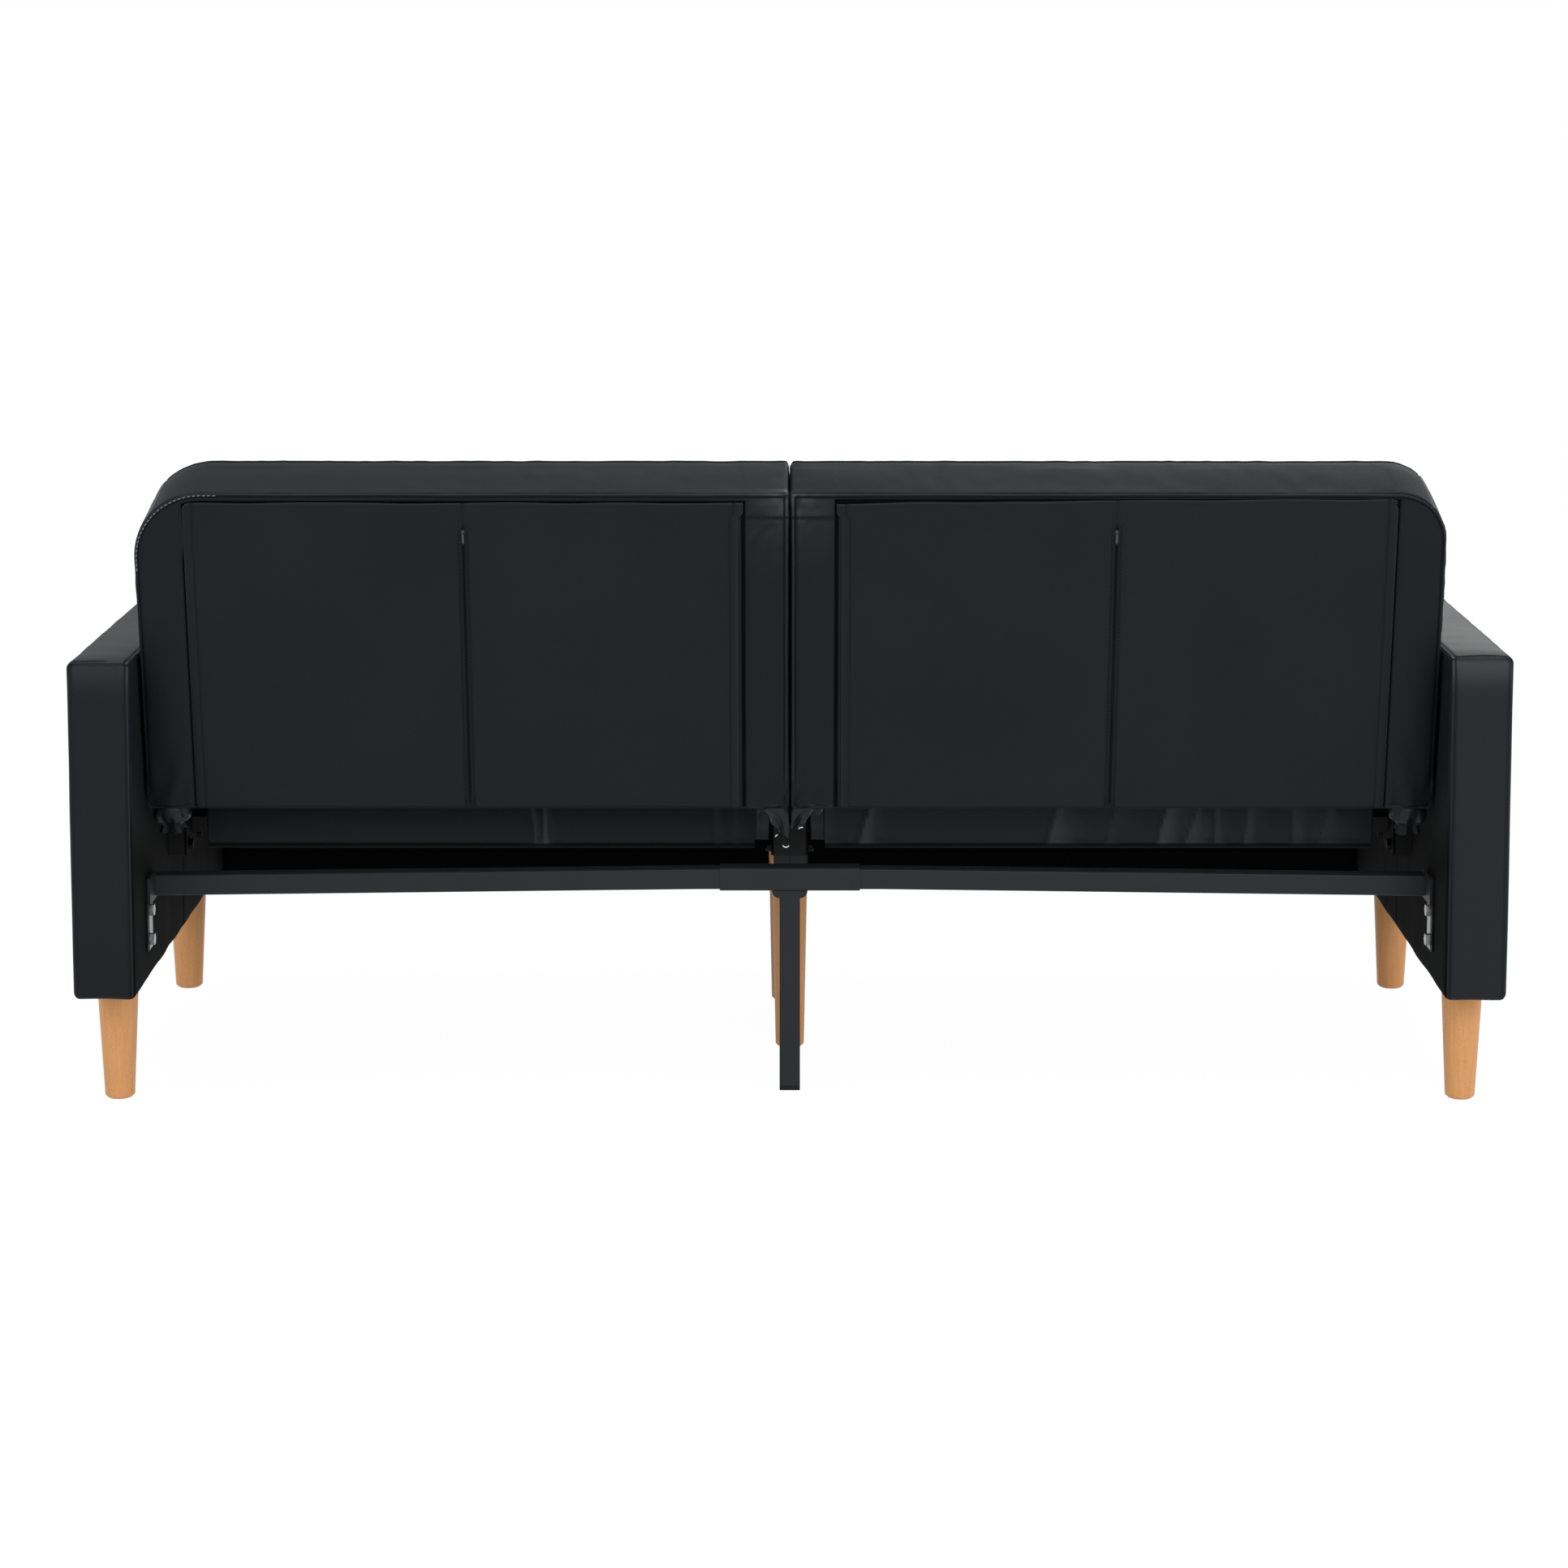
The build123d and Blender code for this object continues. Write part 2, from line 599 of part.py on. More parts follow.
with BuildPart() as left_hinge_seat_arms:
    for face, inward in hinge_faces:
        with BuildSketch(Plane.YZ.offset(face)):
            with Locations(pivot_point):
                Circle(hinge_disc_diameter / 2)
            bar_between(neck_foot, pivot_point, hinge_neck_width)
            with Locations((frame_rear - hinge_stand_width / 2, (frame_low + neck_foot[1]) / 2)):
                Rectangle(hinge_stand_width, neck_foot[1] - frame_low)
            with Locations((frame_rear - hinge_foot_length / 2, hinge_foot_level)):
                Rectangle(hinge_foot_length, hinge_foot_height)
            with Locations(*hinge_bolt_places):
                Circle(bolt_hole / 2, mode=Mode.SUBTRACT)
        extrude(amount=hinge_plate * inward)
        with BuildSketch(Plane.YZ.offset(face)):
            with Locations(pivot_point):
                Circle(hinge_disc_diameter / 2)
        extrude(amount=-hinge_drum_thickness * inward)
        rods(Plane.YZ.offset(face - hinge_drum_thickness * inward), [pivot_point],
             pivot_diameter + pivot_clearance,
             (hinge_drum_thickness + hinge_plate) * inward, Mode.SUBTRACT)

with BuildPart() as hinge_pivots:
    for face, inward in hinge_faces:
        back_arm_face = face + (back_arm_offset + hinge_plate + pivot_clearance) * inward
        drum_face = face - hinge_drum_thickness * inward
        rods(Plane.YZ.offset(drum_face), [pivot_point], pivot_diameter, back_arm_face - drum_face)
        rods(Plane.YZ.offset(back_arm_face), [pivot_point], pivot_head_diameter,
             pivot_head_height * inward)
        rods(Plane.YZ.offset(drum_face), [pivot_point], pivot_head_diameter,
             -pivot_head_height * inward)
    mirror(about=Plane.YZ)

with BuildPart() as hinge_seat_bolts:
    for face, inward in hinge_faces:
        head_face = face + hinge_plate * inward
        rods(Plane.YZ.offset(head_face), hinge_bolt_places, bolt_diameter,
             -(hinge_plate + frame_tube_width - tube_wall) * inward)
        hex_heads(Plane.YZ.offset(head_face), hinge_bolt_places, bolt_head_width,
                  bolt_head_height * inward)
    mirror(about=Plane.YZ)

# The back frame stands between the swinging arms, behind the padding
back_frame_inner = hinge_faces[0][0] + back_arm_offset + hinge_plate
back_frame_outer = hinge_faces[1][0] - back_arm_offset - hinge_plate
back_frame_rear = back_rear + back_border_depth
back_frame_front = back_frame_rear + frame_rail_size
back_frame_low = back_bottom + back_frame_bottom_inset
back_frame_high = back_top - back_frame_top_inset
back_arm_line = back_frame_rear + frame_rail_size / 2
back_bolt_places = [(back_arm_reach + 2 * back_arm_width, back_arm_line),
                    (back_arm_length - back_arm_width, back_arm_line)]

with BuildPart() as left_hinge_back_arms:
    for face, inward in hinge_faces:
        with BuildSketch(back_side_plane(face + back_arm_offset * inward)):
            Circle(hinge_disc_diameter / 2)
            bar_between((0, 0), (back_arm_reach, back_arm_line), back_arm_width)
            bar_between((back_arm_reach, back_arm_line), (back_arm_length, back_arm_line),
                        back_arm_width)
            Circle((pivot_diameter + 2 * pivot_clearance) / 2, mode=Mode.SUBTRACT)
            with Locations(*back_bolt_places):
                Circle(screw_hole / 2, mode=Mode.SUBTRACT)
        extrude(amount=hinge_plate * inward)

with BuildPart() as left_hinge_back_bolts:
    for face, inward in hinge_faces:
        arm_face = back_side_plane(face + back_arm_offset * inward)
        rods(arm_face, back_bolt_places, screw_diameter, (hinge_plate + frame_rail_size / 2) * inward)
        hex_heads(arm_face, back_bolt_places, bolt_head_width, -bolt_head_height * inward)

stile_pitch = (back_frame_outer - back_frame_inner - frame_rail_size) / (back_stile_count + 1)
window_height = back_frame_high - back_frame_low - 2 * frame_rail_size

with BuildPart() as left_back_frame:
    with BuildSketch(back_plane.offset(back_frame_rear)):
        with Locations(((back_frame_inner + back_frame_outer) / 2,
                        (back_frame_low + back_frame_high) / 2)):
            Rectangle(back_frame_outer - back_frame_inner, back_frame_high - back_frame_low)
            with GridLocations(stile_pitch, 0, back_stile_count + 1, 1):
                Rectangle(stile_pitch - frame_rail_size, window_height, mode=Mode.SUBTRACT)
    extrude(amount=frame_rail_size)
    for frame_side, inward in ((back_frame_inner, 1), (back_frame_outer, -1)):
        rods(back_side_plane(frame_side), back_bolt_places, screw_hole,
             frame_rail_size * inward, Mode.SUBTRACT)

with BuildPart() as left_back_webbing:
    with BuildSketch(back_plane.offset(back_frame_front)):
        with Locations(((back_frame_inner + back_frame_outer) / 2,
                        (back_frame_low + back_frame_high) / 2)):
            with GridLocations(0, (back_frame_high - back_frame_low) / webbing_count, 1,
                               webbing_count):
                Rectangle(back_frame_outer - back_frame_inner, webbing_width)
    extrude(amount=webbing_thickness)

# Back cushion: round outer shoulder, crowned front, and a pocket behind for its frame
back_width = seat_width
back_ball = crown_ball(back_width, back_length, back_crown)
back_middle = (seat_middle[0], (back_bottom + back_top) / 2)
panel_inner = seat_inner + panel_inner_inset
panel_outer = seat_outer - panel_outer_inset
panel_top = back_top - panel_top_inset
pocket_front = back_frame_front + webbing_thickness + fit_gap

with BuildPart() as left_back_cushion:
    with BuildSketch(back_plane.offset(back_rear)) as back_outline:
        with BuildLine():
            drawn_in_outline((seat_inner, back_bottom), (seat_outer, back_top), back_draw_in)
        make_face()
        shoulder = back_outline.vertices().group_by(Axis.Y)[-1].sort_by(Axis.X)[-1]
        fillet(shoulder, back_outer_corner_radius)
        fillet(back_outline.vertices().group_by(Axis.Y)[-1], back_inner_corner_radius)
        fillet(back_outline.vertices().group_by(Axis.Y)[0], back_inner_corner_radius)
    extrude(amount=back_thickness + back_crown)
    ball_place = back_plane.from_local_coords(
        (back_middle[0], back_middle[1], pivot_depth + back_crown_rise - back_ball))
    with Locations(ball_place):
        Sphere(back_ball, mode=Mode.INTERSECT)
    front_edges = left_back_cushion.faces().sort_by(Axis.Y)[0].edges()
    chamfer(front_edges, back_edge_bevel)
    rear_edges = left_back_cushion.faces().sort_by(Axis.Y)[-1].edges()
    chamfer(rear_edges, back_edge_bevel)
    block(back_plane.offset(back_rear), (panel_inner, back_bottom - back_edge_bevel),
          (panel_outer, panel_top), back_border_depth, Mode.SUBTRACT)
    block(back_plane.offset(back_frame_rear), (back_frame_inner, back_bottom - back_edge_bevel),
          (back_frame_outer, back_frame_high + fit_gap), pocket_front - back_frame_rear,
          Mode.SUBTRACT)
    for face, inward in hinge_faces:
        slot_low, slot_high = sorted((face + back_arm_offset * inward - bolt_head_height * inward,
                                      face + (back_arm_offset + hinge_plate) * inward))
        block(back_plane.offset(back_frame_rear), (slot_low, back_bottom - back_edge_bevel),
              (slot_high, back_arm_length + back_arm_width), -back_frame_rear, Mode.SUBTRACT)
    for notch_low, notch_high in ((seat_inner - side_gap, seat_inner + hinge_notch),
                                  (seat_outer - hinge_notch, seat_outer + side_gap)):
        block(back_plane.offset(-hinge_notch_depth), (notch_low, back_bottom - back_edge_bevel),
              (notch_high, hinge_notch_rise), back_thickness, Mode.SUBTRACT)

# Cover corners, drawn together in a bunch under each hinge. Each section gives its share of
# the drop and its share of the width.
gather_middle = back_rear + gather_depth / 2 + panel_recess
gather_sections = ((0, 1.0), (0.45, 0.86), (1.0, 0.42))

with BuildPart() as left_corner_gathers:
    for gather_x in (seat_inner + hinge_notch / 2, seat_outer - hinge_notch / 2):
        sections = []
        for fall, share in gather_sections:
            level = back_bottom - fit_gap - fall * gather_drop
            middle = back_plane.from_local_coords((gather_x, level, gather_middle))
            with BuildSketch(Plane(middle, x_dir=(1, 0, 0), z_dir=back_up_direction),
                             mode=Mode.PRIVATE) as section:
                Rectangle(gather_width * share, gather_depth * share)
                chamfer(section.vertices(), back_inner_corner_radius * share)
            sections.append(section.sketch)
        loft(sections)

# Rear panel, with its zip down the middle
zip_x = (panel_inner + panel_outer) / 2
zip_top = panel_top - zip_top_inset
zip_low = back_bottom + zip_bottom_inset
panel_rear = back_rear + panel_recess

with BuildPart() as left_back_panel:
    with BuildSketch(back_plane.offset(panel_rear)) as panel_outline:
        with Locations(((panel_inner + panel_outer) / 2, (back_bottom + panel_top) / 2)):
            Rectangle(panel_outer - panel_inner, panel_top - back_bottom)
        fillet(panel_outline.vertices().group_by(Axis.Y)[-1], panel_corner_radius)
        with Locations((zip_x, (zip_low + zip_top) / 2)):
            Rectangle(zip_width, zip_top - zip_low, mode=Mode.SUBTRACT)
    extrude(amount=back_frame_rear - panel_rear)

with BuildPart() as left_zip_tape:
    block(back_plane.offset(back_frame_rear - zip_tape_thickness), (zip_x - zip_width / 2, zip_low),
          (zip_x + zip_width / 2, zip_top), zip_tape_thickness)

slider_front = back_frame_rear - zip_tape_thickness - pivot_clearance
slider_top = zip_top - zip_bottom_inset
lug_rear = slider_front - zip_slider_thickness - zip_lug_height

with BuildPart() as left_zip_slider:
    with BuildSketch(back_plane.offset(slider_front)):
        with Locations((zip_x, slider_top - zip_slider_length / 2)):
            RectangleRounded(zip_slider_width, zip_slider_length, zip_slider_width / 3)
    extrude(amount=-zip_slider_thickness)
    block(back_plane.offset(lug_rear), (zip_x - zip_pull_width / 3, slider_top - zip_slider_length),
          (zip_x + zip_pull_width / 3, slider_top - zip_slider_length / 2), zip_lug_height)
    with BuildSketch(back_plane.offset(lug_rear)):
        with Locations((zip_x, slider_top - zip_slider_length / 2 - zip_pull_length / 2)):
            SlotOverall(zip_pull_length, zip_pull_width, rotation=90)
    extrude(amount=-zip_pull_thickness)

# Pieces on the middle of the sofa, or that hold both halves' fasteners
single_pieces = {
    "centre_front_leg": centre_front_leg,
    "centre_rear_leg": centre_rear_leg,
    "centre_leg_plates": centre_leg_plates,
    "leg_hanger_bolts": leg_hanger_bolts,
    "threaded_inserts": threaded_inserts,
    "rail_sleeve": rail_sleeve,
    "rear_centre_leg": rear_centre_leg,
    "steel_leg_foot": steel_leg_foot,
    "bracket_screws": bracket_screws,
    "tube_end_caps": tube_end_caps,
    "arm_bolts": arm_bolts,
    "seat_join_bolts": seat_join_bolts,
    "hinge_pivots": hinge_pivots,
    "hinge_seat_bolts": hinge_seat_bolts,
}
for name, piece in single_pieces.items():
    piece.part.label = name
    export_step(piece.part, f"parts/{name}.step")

# Pieces of the left half, each with its mirror image on the right
half_pieces = {
    "arm_cover": left_arm_cover,
    "arm_boards": left_arm_boards,
    "arm_frame": left_arm_frame,
    "front_leg": left_front_leg,
    "rear_leg": left_rear_leg,
    "rear_rail": left_rear_rail,
    "rail_bracket": left_rail_bracket,
    "seat_frame": left_seat_frame,
    "seat_slats": left_seat_slats,
    "seat_cushion": left_seat_cushion,
    "apron_board": left_apron_board,
    "apron_cover": left_apron_cover,
    "hinge_seat_arms": left_hinge_seat_arms,
    "hinge_back_arms": left_hinge_back_arms,
    "hinge_back_bolts": left_hinge_back_bolts,
    "back_frame": left_back_frame,
    "back_webbing": left_back_webbing,
    "back_cushion": left_back_cushion,
    "corner_gathers": left_corner_gathers,
    "back_panel": left_back_panel,
    "zip_tape": left_zip_tape,
    "zip_slider": left_zip_slider,
}
for name, piece in half_pieces.items():
    piece.part.label = f"left_{name}"
    export_step(piece.part, f"parts/left_{name}.step")
    with BuildPart() as mirrored:
        mirror(piece.part, about=Plane.YZ)
    mirrored.part.label = f"right_{name}"
    export_step(mirrored.part, f"parts/right_{name}.step")
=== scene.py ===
import bpy
import math
import numpy as np
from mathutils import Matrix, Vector, noise
from mathutils.bvhtree import BVHTree


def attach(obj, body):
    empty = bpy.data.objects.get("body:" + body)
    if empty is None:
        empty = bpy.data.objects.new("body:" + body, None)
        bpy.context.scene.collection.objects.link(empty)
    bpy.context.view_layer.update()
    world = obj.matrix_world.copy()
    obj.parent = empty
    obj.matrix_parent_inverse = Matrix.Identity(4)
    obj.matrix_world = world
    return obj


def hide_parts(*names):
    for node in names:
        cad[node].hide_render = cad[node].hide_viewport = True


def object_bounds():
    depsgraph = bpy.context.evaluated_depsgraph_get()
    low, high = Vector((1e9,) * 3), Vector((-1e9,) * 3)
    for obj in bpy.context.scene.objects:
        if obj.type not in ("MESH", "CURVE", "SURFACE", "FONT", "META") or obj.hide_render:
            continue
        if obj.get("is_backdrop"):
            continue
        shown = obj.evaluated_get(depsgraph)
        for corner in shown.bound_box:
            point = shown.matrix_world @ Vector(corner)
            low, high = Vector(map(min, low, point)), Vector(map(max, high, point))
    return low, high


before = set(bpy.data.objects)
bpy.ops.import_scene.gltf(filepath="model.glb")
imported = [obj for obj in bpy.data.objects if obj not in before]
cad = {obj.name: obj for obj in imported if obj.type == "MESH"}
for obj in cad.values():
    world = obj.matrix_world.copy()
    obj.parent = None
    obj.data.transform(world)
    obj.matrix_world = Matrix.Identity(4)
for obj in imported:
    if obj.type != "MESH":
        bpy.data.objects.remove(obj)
cad_box = [list(corner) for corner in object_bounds()]

# Studio: a plain white floor and soft light from above and from the camera's side.
# The camera stands behind the sofa, a little above it, as in the photograph.
scene = bpy.context.scene
scene.view_settings.view_transform = "Standard"


def linear(hex_colour):
    """Linear colour of an sRGB hex value."""
    shares = [int(hex_colour[i:i + 2], 16) / 255 for i in (1, 3, 5)]
    return [c / 12.92 if c <= 0.04045 else ((c + 0.055) / 1.055) ** 2.4 for c in shares] + [1.0]


def add(tree, kind, inputs=(), **settings):
    """Adds a node with its settings; a shader node's kind is named without its prefix. Each input
    takes a value, a hex colour, a socket, or a node, which stands for its first output in use."""
    made = tree.nodes.new(kind if "Node" in kind else f"ShaderNode{kind}")
    for key, value in settings.items():
        setattr(made, key, value)
    for key, value in dict(inputs).items():
        if isinstance(value, bpy.types.Node):
            value = next(socket for socket in value.outputs if socket.enabled)
        if isinstance(value, bpy.types.NodeSocket):
            tree.links.new(value, made.inputs[key])
        else:
            made.inputs[key].default_value = linear(value) if isinstance(value, str) else value
    return made


def new_material(name):
    """Empty node material and its tree."""
    material = bpy.data.materials.new(name)
    material.use_nodes = True
    material.node_tree.nodes.clear()
    return material, material.node_tree


def seen_rays(tree):
    """Node that gives 1 for rays that show the background: camera, mirror and glass rays."""
    path = add(tree, "LightPath")
    first = add(tree, "Math", {0: path.outputs["Is Camera Ray"], 1: path.outputs["Is Glossy Ray"]},
                operation="MAXIMUM")
    return add(tree, "Math", {0: first, 1: path.outputs["Is Transmission Ray"]}, operation="MAXIMUM")


ROOM_LIGHT = 0.55
FLOOR_SHADOW = 0.05
world = bpy.data.worlds.new("studio")
scene.world = world
world.use_nodes = True
sky = world.node_tree
sky.nodes.clear()
room = add(sky, "Background", {"Color": "#FFFFFF", "Strength": ROOM_LIGHT})
white = add(sky, "Background", {"Color": "#FFFFFF", "Strength": 1.0})
shown = add(sky, "MixShader", {0: seen_rays(sky), 1: room, 2: white})
add(sky, "OutputWorld", {"Surface": shown})

floor_paint, tree = new_material("matt_white_studio_floor")
diffuse = add(tree, "BsdfDiffuse", {"Color": "#EDEDED"})
glow = add(tree, "Emission", {"Color": "#FFFFFF", "Strength": 1.03})
held = add(tree, "Math", {0: seen_rays(tree), 1: 1.0 - FLOOR_SHADOW}, operation="MULTIPLY")
mixed = add(tree, "MixShader", {0: held, 1: diffuse, 2: glow})
add(tree, "OutputMaterial", {"Surface": mixed})
floor_mesh = bpy.data.meshes.new("studio_floor")
FLOOR_REACH, FLOOR_LEVEL = 150.0, -0.0005
floor_mesh.from_pydata([(x * FLOOR_REACH, y * FLOOR_REACH, FLOOR_LEVEL)
                        for x, y in ((-1, -1), (1, -1), (1, 1), (-1, 1))], [], [(0, 1, 2, 3)])
floor_mesh.materials.append(floor_paint)
floor = bpy.data.objects.new("studio_floor", floor_mesh)
scene.collection.objects.link(floor)
floor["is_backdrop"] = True

for name, place, aim, size, power in (
        ("overhead_softbox", (0.0, 0.3, 3.4), (0.0, 0.0, 0.4), 2.6, 20.0),
        ("camera_side_fill", (-1.9, 5.0, 2.6), (0.0, 0.0, 0.4), 2.4, 84.0),
        ("shoulder_light", (2.5, 2.4, 2.7), (0.74, 0.3, 0.7), 1.0, 12.0),
        ("front_fill", (-1.6, -4.6, 2.4), (0.0, 0.0, 0.4), 2.4, 60.0)):
    lamp = bpy.data.lights.new(name, "AREA")
    lamp.size = size
    lamp.energy = power
    holder = bpy.data.objects.new(name, lamp)
    holder.location = place
    holder.rotation_euler = (Vector(aim) - Vector(place)).to_track_quat("-Z", "Y").to_euler()
    scene.collection.objects.link(holder)

# The lens, height and distance come from the photograph's own perspective. Its upright edges
# are nearly parallel, so the lens is shifted down a little and the camera pitched less.
CAMERA_LENS = 86.3
CAMERA_SHIFT = -0.2
CAMERA_PITCH = math.radians(6.69)
CAMERA_YAW = math.radians(0.09)
lens = bpy.data.cameras.new("photo_camera")
lens.lens = CAMERA_LENS
lens.sensor_width = 36.0
lens.shift_y = CAMERA_SHIFT
camera = bpy.data.objects.new("photo_camera", lens)
camera.location = (0.0, 4.7095, 1.286)
looking = Vector((math.sin(CAMERA_YAW) * math.cos(CAMERA_PITCH),
                  -math.cos(CAMERA_YAW) * math.cos(CAMERA_PITCH), -math.sin(CAMERA_PITCH)))
camera.rotation_euler = looking.to_track_quat("-Z", "Y").to_euler()
scene.collection.objects.link(camera)
scene.camera = camera

# Steel frames, rear rail and its leg: mild steel tube and plate, cut, welded and powder coated in satin
# black. The coat shows a fine orange peel and slightly uneven gloss. The hinge arms are stamped black plate,
# drawn near-black and matt as painted shade, where they sit in the shade under the seats.


def finish(name, dark, pale, gloss, sheen=0.5, grain=0.002, detail=2.0, twist=0.0, stretch=None,
           relief=None, cloud=None, metal=0.0):
    """Material whose colour and gloss follow one noise and whose relief follows its grain; sizes in
    metres. A cloud gives colour and gloss a coarser noise of their own."""
    material, tree = new_material(name)
    place = add(tree, "TexCoord").outputs["Object"]
    if stretch:
        place = add(tree, "Mapping", {"Vector": place, "Scale": stretch})
    fine = add(tree, "TexNoise", {"Vector": place, "Scale": 1 / grain, "Detail": detail,
                                  "Distortion": twist})
    drift = fine
    if cloud:
        drift = add(tree, "TexNoise", {"Vector": place, "Scale": 1 / cloud, "Detail": 3.0})
    inputs = {"Base Color": dark, "Roughness": gloss, "Metallic": metal, "Specular IOR Level": sheen}
    if pale:
        inputs["Base Color"] = add(tree, "Mix", {0: drift, 6: dark, 7: pale}, data_type="RGBA")
    if isinstance(gloss, tuple):
        inputs["Roughness"] = add(tree, "MapRange", {"Value": drift, "To Min": gloss[0],
                                                     "To Max": gloss[1]})
    if relief:
        inputs["Normal"] = add(tree, "Bump", {"Height": fine, "Strength": relief[0], "Distance": relief[1]})
    surface = add(tree, "BsdfPrincipled", inputs)
    add(tree, "OutputMaterial", {"Surface": surface})
    return material


# real peel is about 1 mm; its grain is drawn coarser so that it shows
COAT = {"grain": 0.0025, "relief": (0.12, 0.0004), "cloud": 0.09}
powder_coat = finish("black_powder_coated_steel", "#202123", "#27282B", (0.42, 0.56), sheen=0.22, **COAT)
# a near-black copy of the coat: painted shade on the hinge arms
shade_black_steel = finish("black_steel_darkened_as_painted_shade", "#060607", "#0B0B0C", (0.65, 0.8), sheen=0.06, **COAT)


def dress(names, material):
    """Gives CAD pieces their finish."""
    for name in names:
        cad[name].data.materials.clear()
        cad[name].data.materials.append(material)


SIDES = {"left": 1, "right": -1}      # each side's direction along X


def both(*names):
    """The left and right piece of each name."""
    return [f"{side}_{name}" for name in names for side in SIDES]


dress(["centre_leg_plates", "rail_sleeve", "rear_centre_leg",
       *both("rear_rail", "seat_frame")], powder_coat)
dress(both("hinge_seat_arms", "hinge_back_arms"), shade_black_steel)

# Fasteners and the rail's wall plates: cold-formed steel. The plates and their screws are bright zinc, cloudy
# and slightly blotched; the plates turn black above one height and towards the rear edge. The hinge and frame
# bolts are zinc passivated to a matt black.
ZINC = {"grain": 0.006, "detail": 4.0, "metal": 1.0}
BLACK_LOW, BLACK_FRONT = 0.2435, 0.266     # height and depth at which the plates turn black


def within(tree, tests):
    """Node that gives 1 where every test of axis, way and limit on the place in metres holds."""
    place = add(tree, "SeparateXYZ", {0: add(tree, "TexCoord").outputs["Object"]})
    held = 1.0
    for axis, way, limit in tests:
        test = add(tree, "Math", {0: place.outputs[axis], 1: limit}, operation=way)
        held = add(tree, "Math", {0: test, 1: held}, operation="MULTIPLY")
    return held


zinc_plate, tree = new_material("bright_zinc_plated_steel")
place = add(tree, "TexCoord").outputs["Object"]
blotch = add(tree, "TexNoise", {"Vector": place, "Scale": 1 / ZINC["grain"], "Detail": ZINC["detail"]})
zinc_shows = within(tree, (("Z", "LESS_THAN", BLACK_LOW), ("Y", "LESS_THAN", BLACK_FRONT)))
tint = add(tree, "Mix", {0: blotch, 6: "#4B4E51", 7: "#A6A9AA"}, data_type="RGBA")
# the plates are black above one height and towards the rear edge
tint = add(tree, "Mix", {0: zinc_shows, 6: "#0C0D0E", 7: tint}, data_type="RGBA")
gloss = add(tree, "MapRange", {"Value": blotch, "To Min": 0.26, "To Max": 0.48})
gloss = add(tree, "Mix", {0: zinc_shows, 2: 0.5, 3: gloss})
plate = add(tree, "BsdfPrincipled", {"Base Color": tint, "Roughness": gloss, "Metallic": zinc_shows,
                                     "Specular IOR Level": 0.1})
add(tree, "OutputMaterial", {"Surface": plate})
dress(both("rail_bracket"), zinc_plate)
zinc_screw = finish("bright_zinc_plated_screws", "#6B6E71", "#BFC1C2", (0.26, 0.44), **ZINC)
black_zinc = finish("black_passivated_steel", "#0E0E0F", "#1C1C1D", (0.42, 0.6), **ZINC)
dress(["leg_hanger_bolts", "threaded_inserts", "bracket_screws", "arm_bolts"], zinc_screw)
dress(["seat_join_bolts", "hinge_pivots", "hinge_seat_bolts", *both("hinge_back_bolts")], black_zinc)

# Tube caps and the steel leg's foot: injection-moulded black polypropylene with a fine spark
# texture from the mould, pushed into the open tube ends.
moulded = finish("black_moulded_polypropylene", "#111213", "#191A1A", 0.6, sheen=0.18, grain=0.0015,
                 relief=(0.2, 0.0003))
dress(["steel_leg_foot", "tube_end_caps"], moulded)

# Slats, arm cores, apron boards and back frames: sawn softwood and board, left raw because the
# covers hide them. The grain runs along the sofa on the frames and front to back on the slats.
SAWN = {"gloss": 0.72, "grain": 0.006, "detail": 5.0, "twist": 0.6, "relief": (0.25, 0.0004)}
pine = finish("sawn_pine_along_the_sofa", "#A67C4E", "#C9A473", stretch=(0.04, 1.0, 1.0), **SAWN)
poplar = finish("sawn_poplar_slats", "#AE8A5C", "#CDB084", stretch=(1.0, 0.04, 1.0), **SAWN)
dress(both("arm_frame", "arm_boards", "apron_board", "back_frame"), pine)
dress(both("seat_slats"), poplar)

# Legs: turned beech, tapered to the floor, sealed with a satin clear lacquer. Beech has a close pink-brown
# grain with short dark flecks that run along the leg. One side of the centre legs' tops is coloured
# near-black and matt as painted shade, where the posts and the seats shade it.
FLECK_LENGTH = 0.006
FLECK_WIDTH = 0.0011     # real flecks are about half as wide; drawn wider so that they show
GRAIN_WIDTH, GRAIN_SQUEEZE = 0.0042, 0.06
SHADE_EDGE_LEFT, SHADE_EDGE_RIGHT, SHADE_EDGE_LOW = 0.004, -0.04, 0.21     # edges of the painted shade on the centre legs' tops
beech, tree = new_material("lacquered_turned_beech")
place = add(tree, "TexCoord").outputs["Object"]
grain_way = add(tree, "Mapping", {"Vector": place, "Scale": (1.0, 1.0, GRAIN_SQUEEZE)})
grain = add(tree, "TexNoise", {"Vector": grain_way, "Scale": 1 / GRAIN_WIDTH, "Detail": 4.0,
                               "Distortion": 0.4})
base_tint = add(tree, "Mix", {0: grain, 6: "#E49C5D", 7: "#F4B97F"}, data_type="RGBA")
fleck_way = add(tree, "Mapping", {"Vector": place, "Scale": (1.0, 1.0, FLECK_WIDTH / FLECK_LENGTH)})
fleck = add(tree, "TexVoronoi", {"Vector": fleck_way, "Scale": 1 / FLECK_WIDTH, "Randomness": 1.0})
fleck_mask = add(tree, "MapRange", {"Value": fleck, "From Min": 0.16, "From Max": 0.3, "To Min": 0.45,
                                    "To Max": 0.0})
tint = add(tree, "Mix", {0: fleck_mask, 6: base_tint, 7: "#BE7A42"}, data_type="RGBA")
raised = add(tree, "Bump", {"Height": grain, "Strength": 0.08, "Distance": 0.0003})
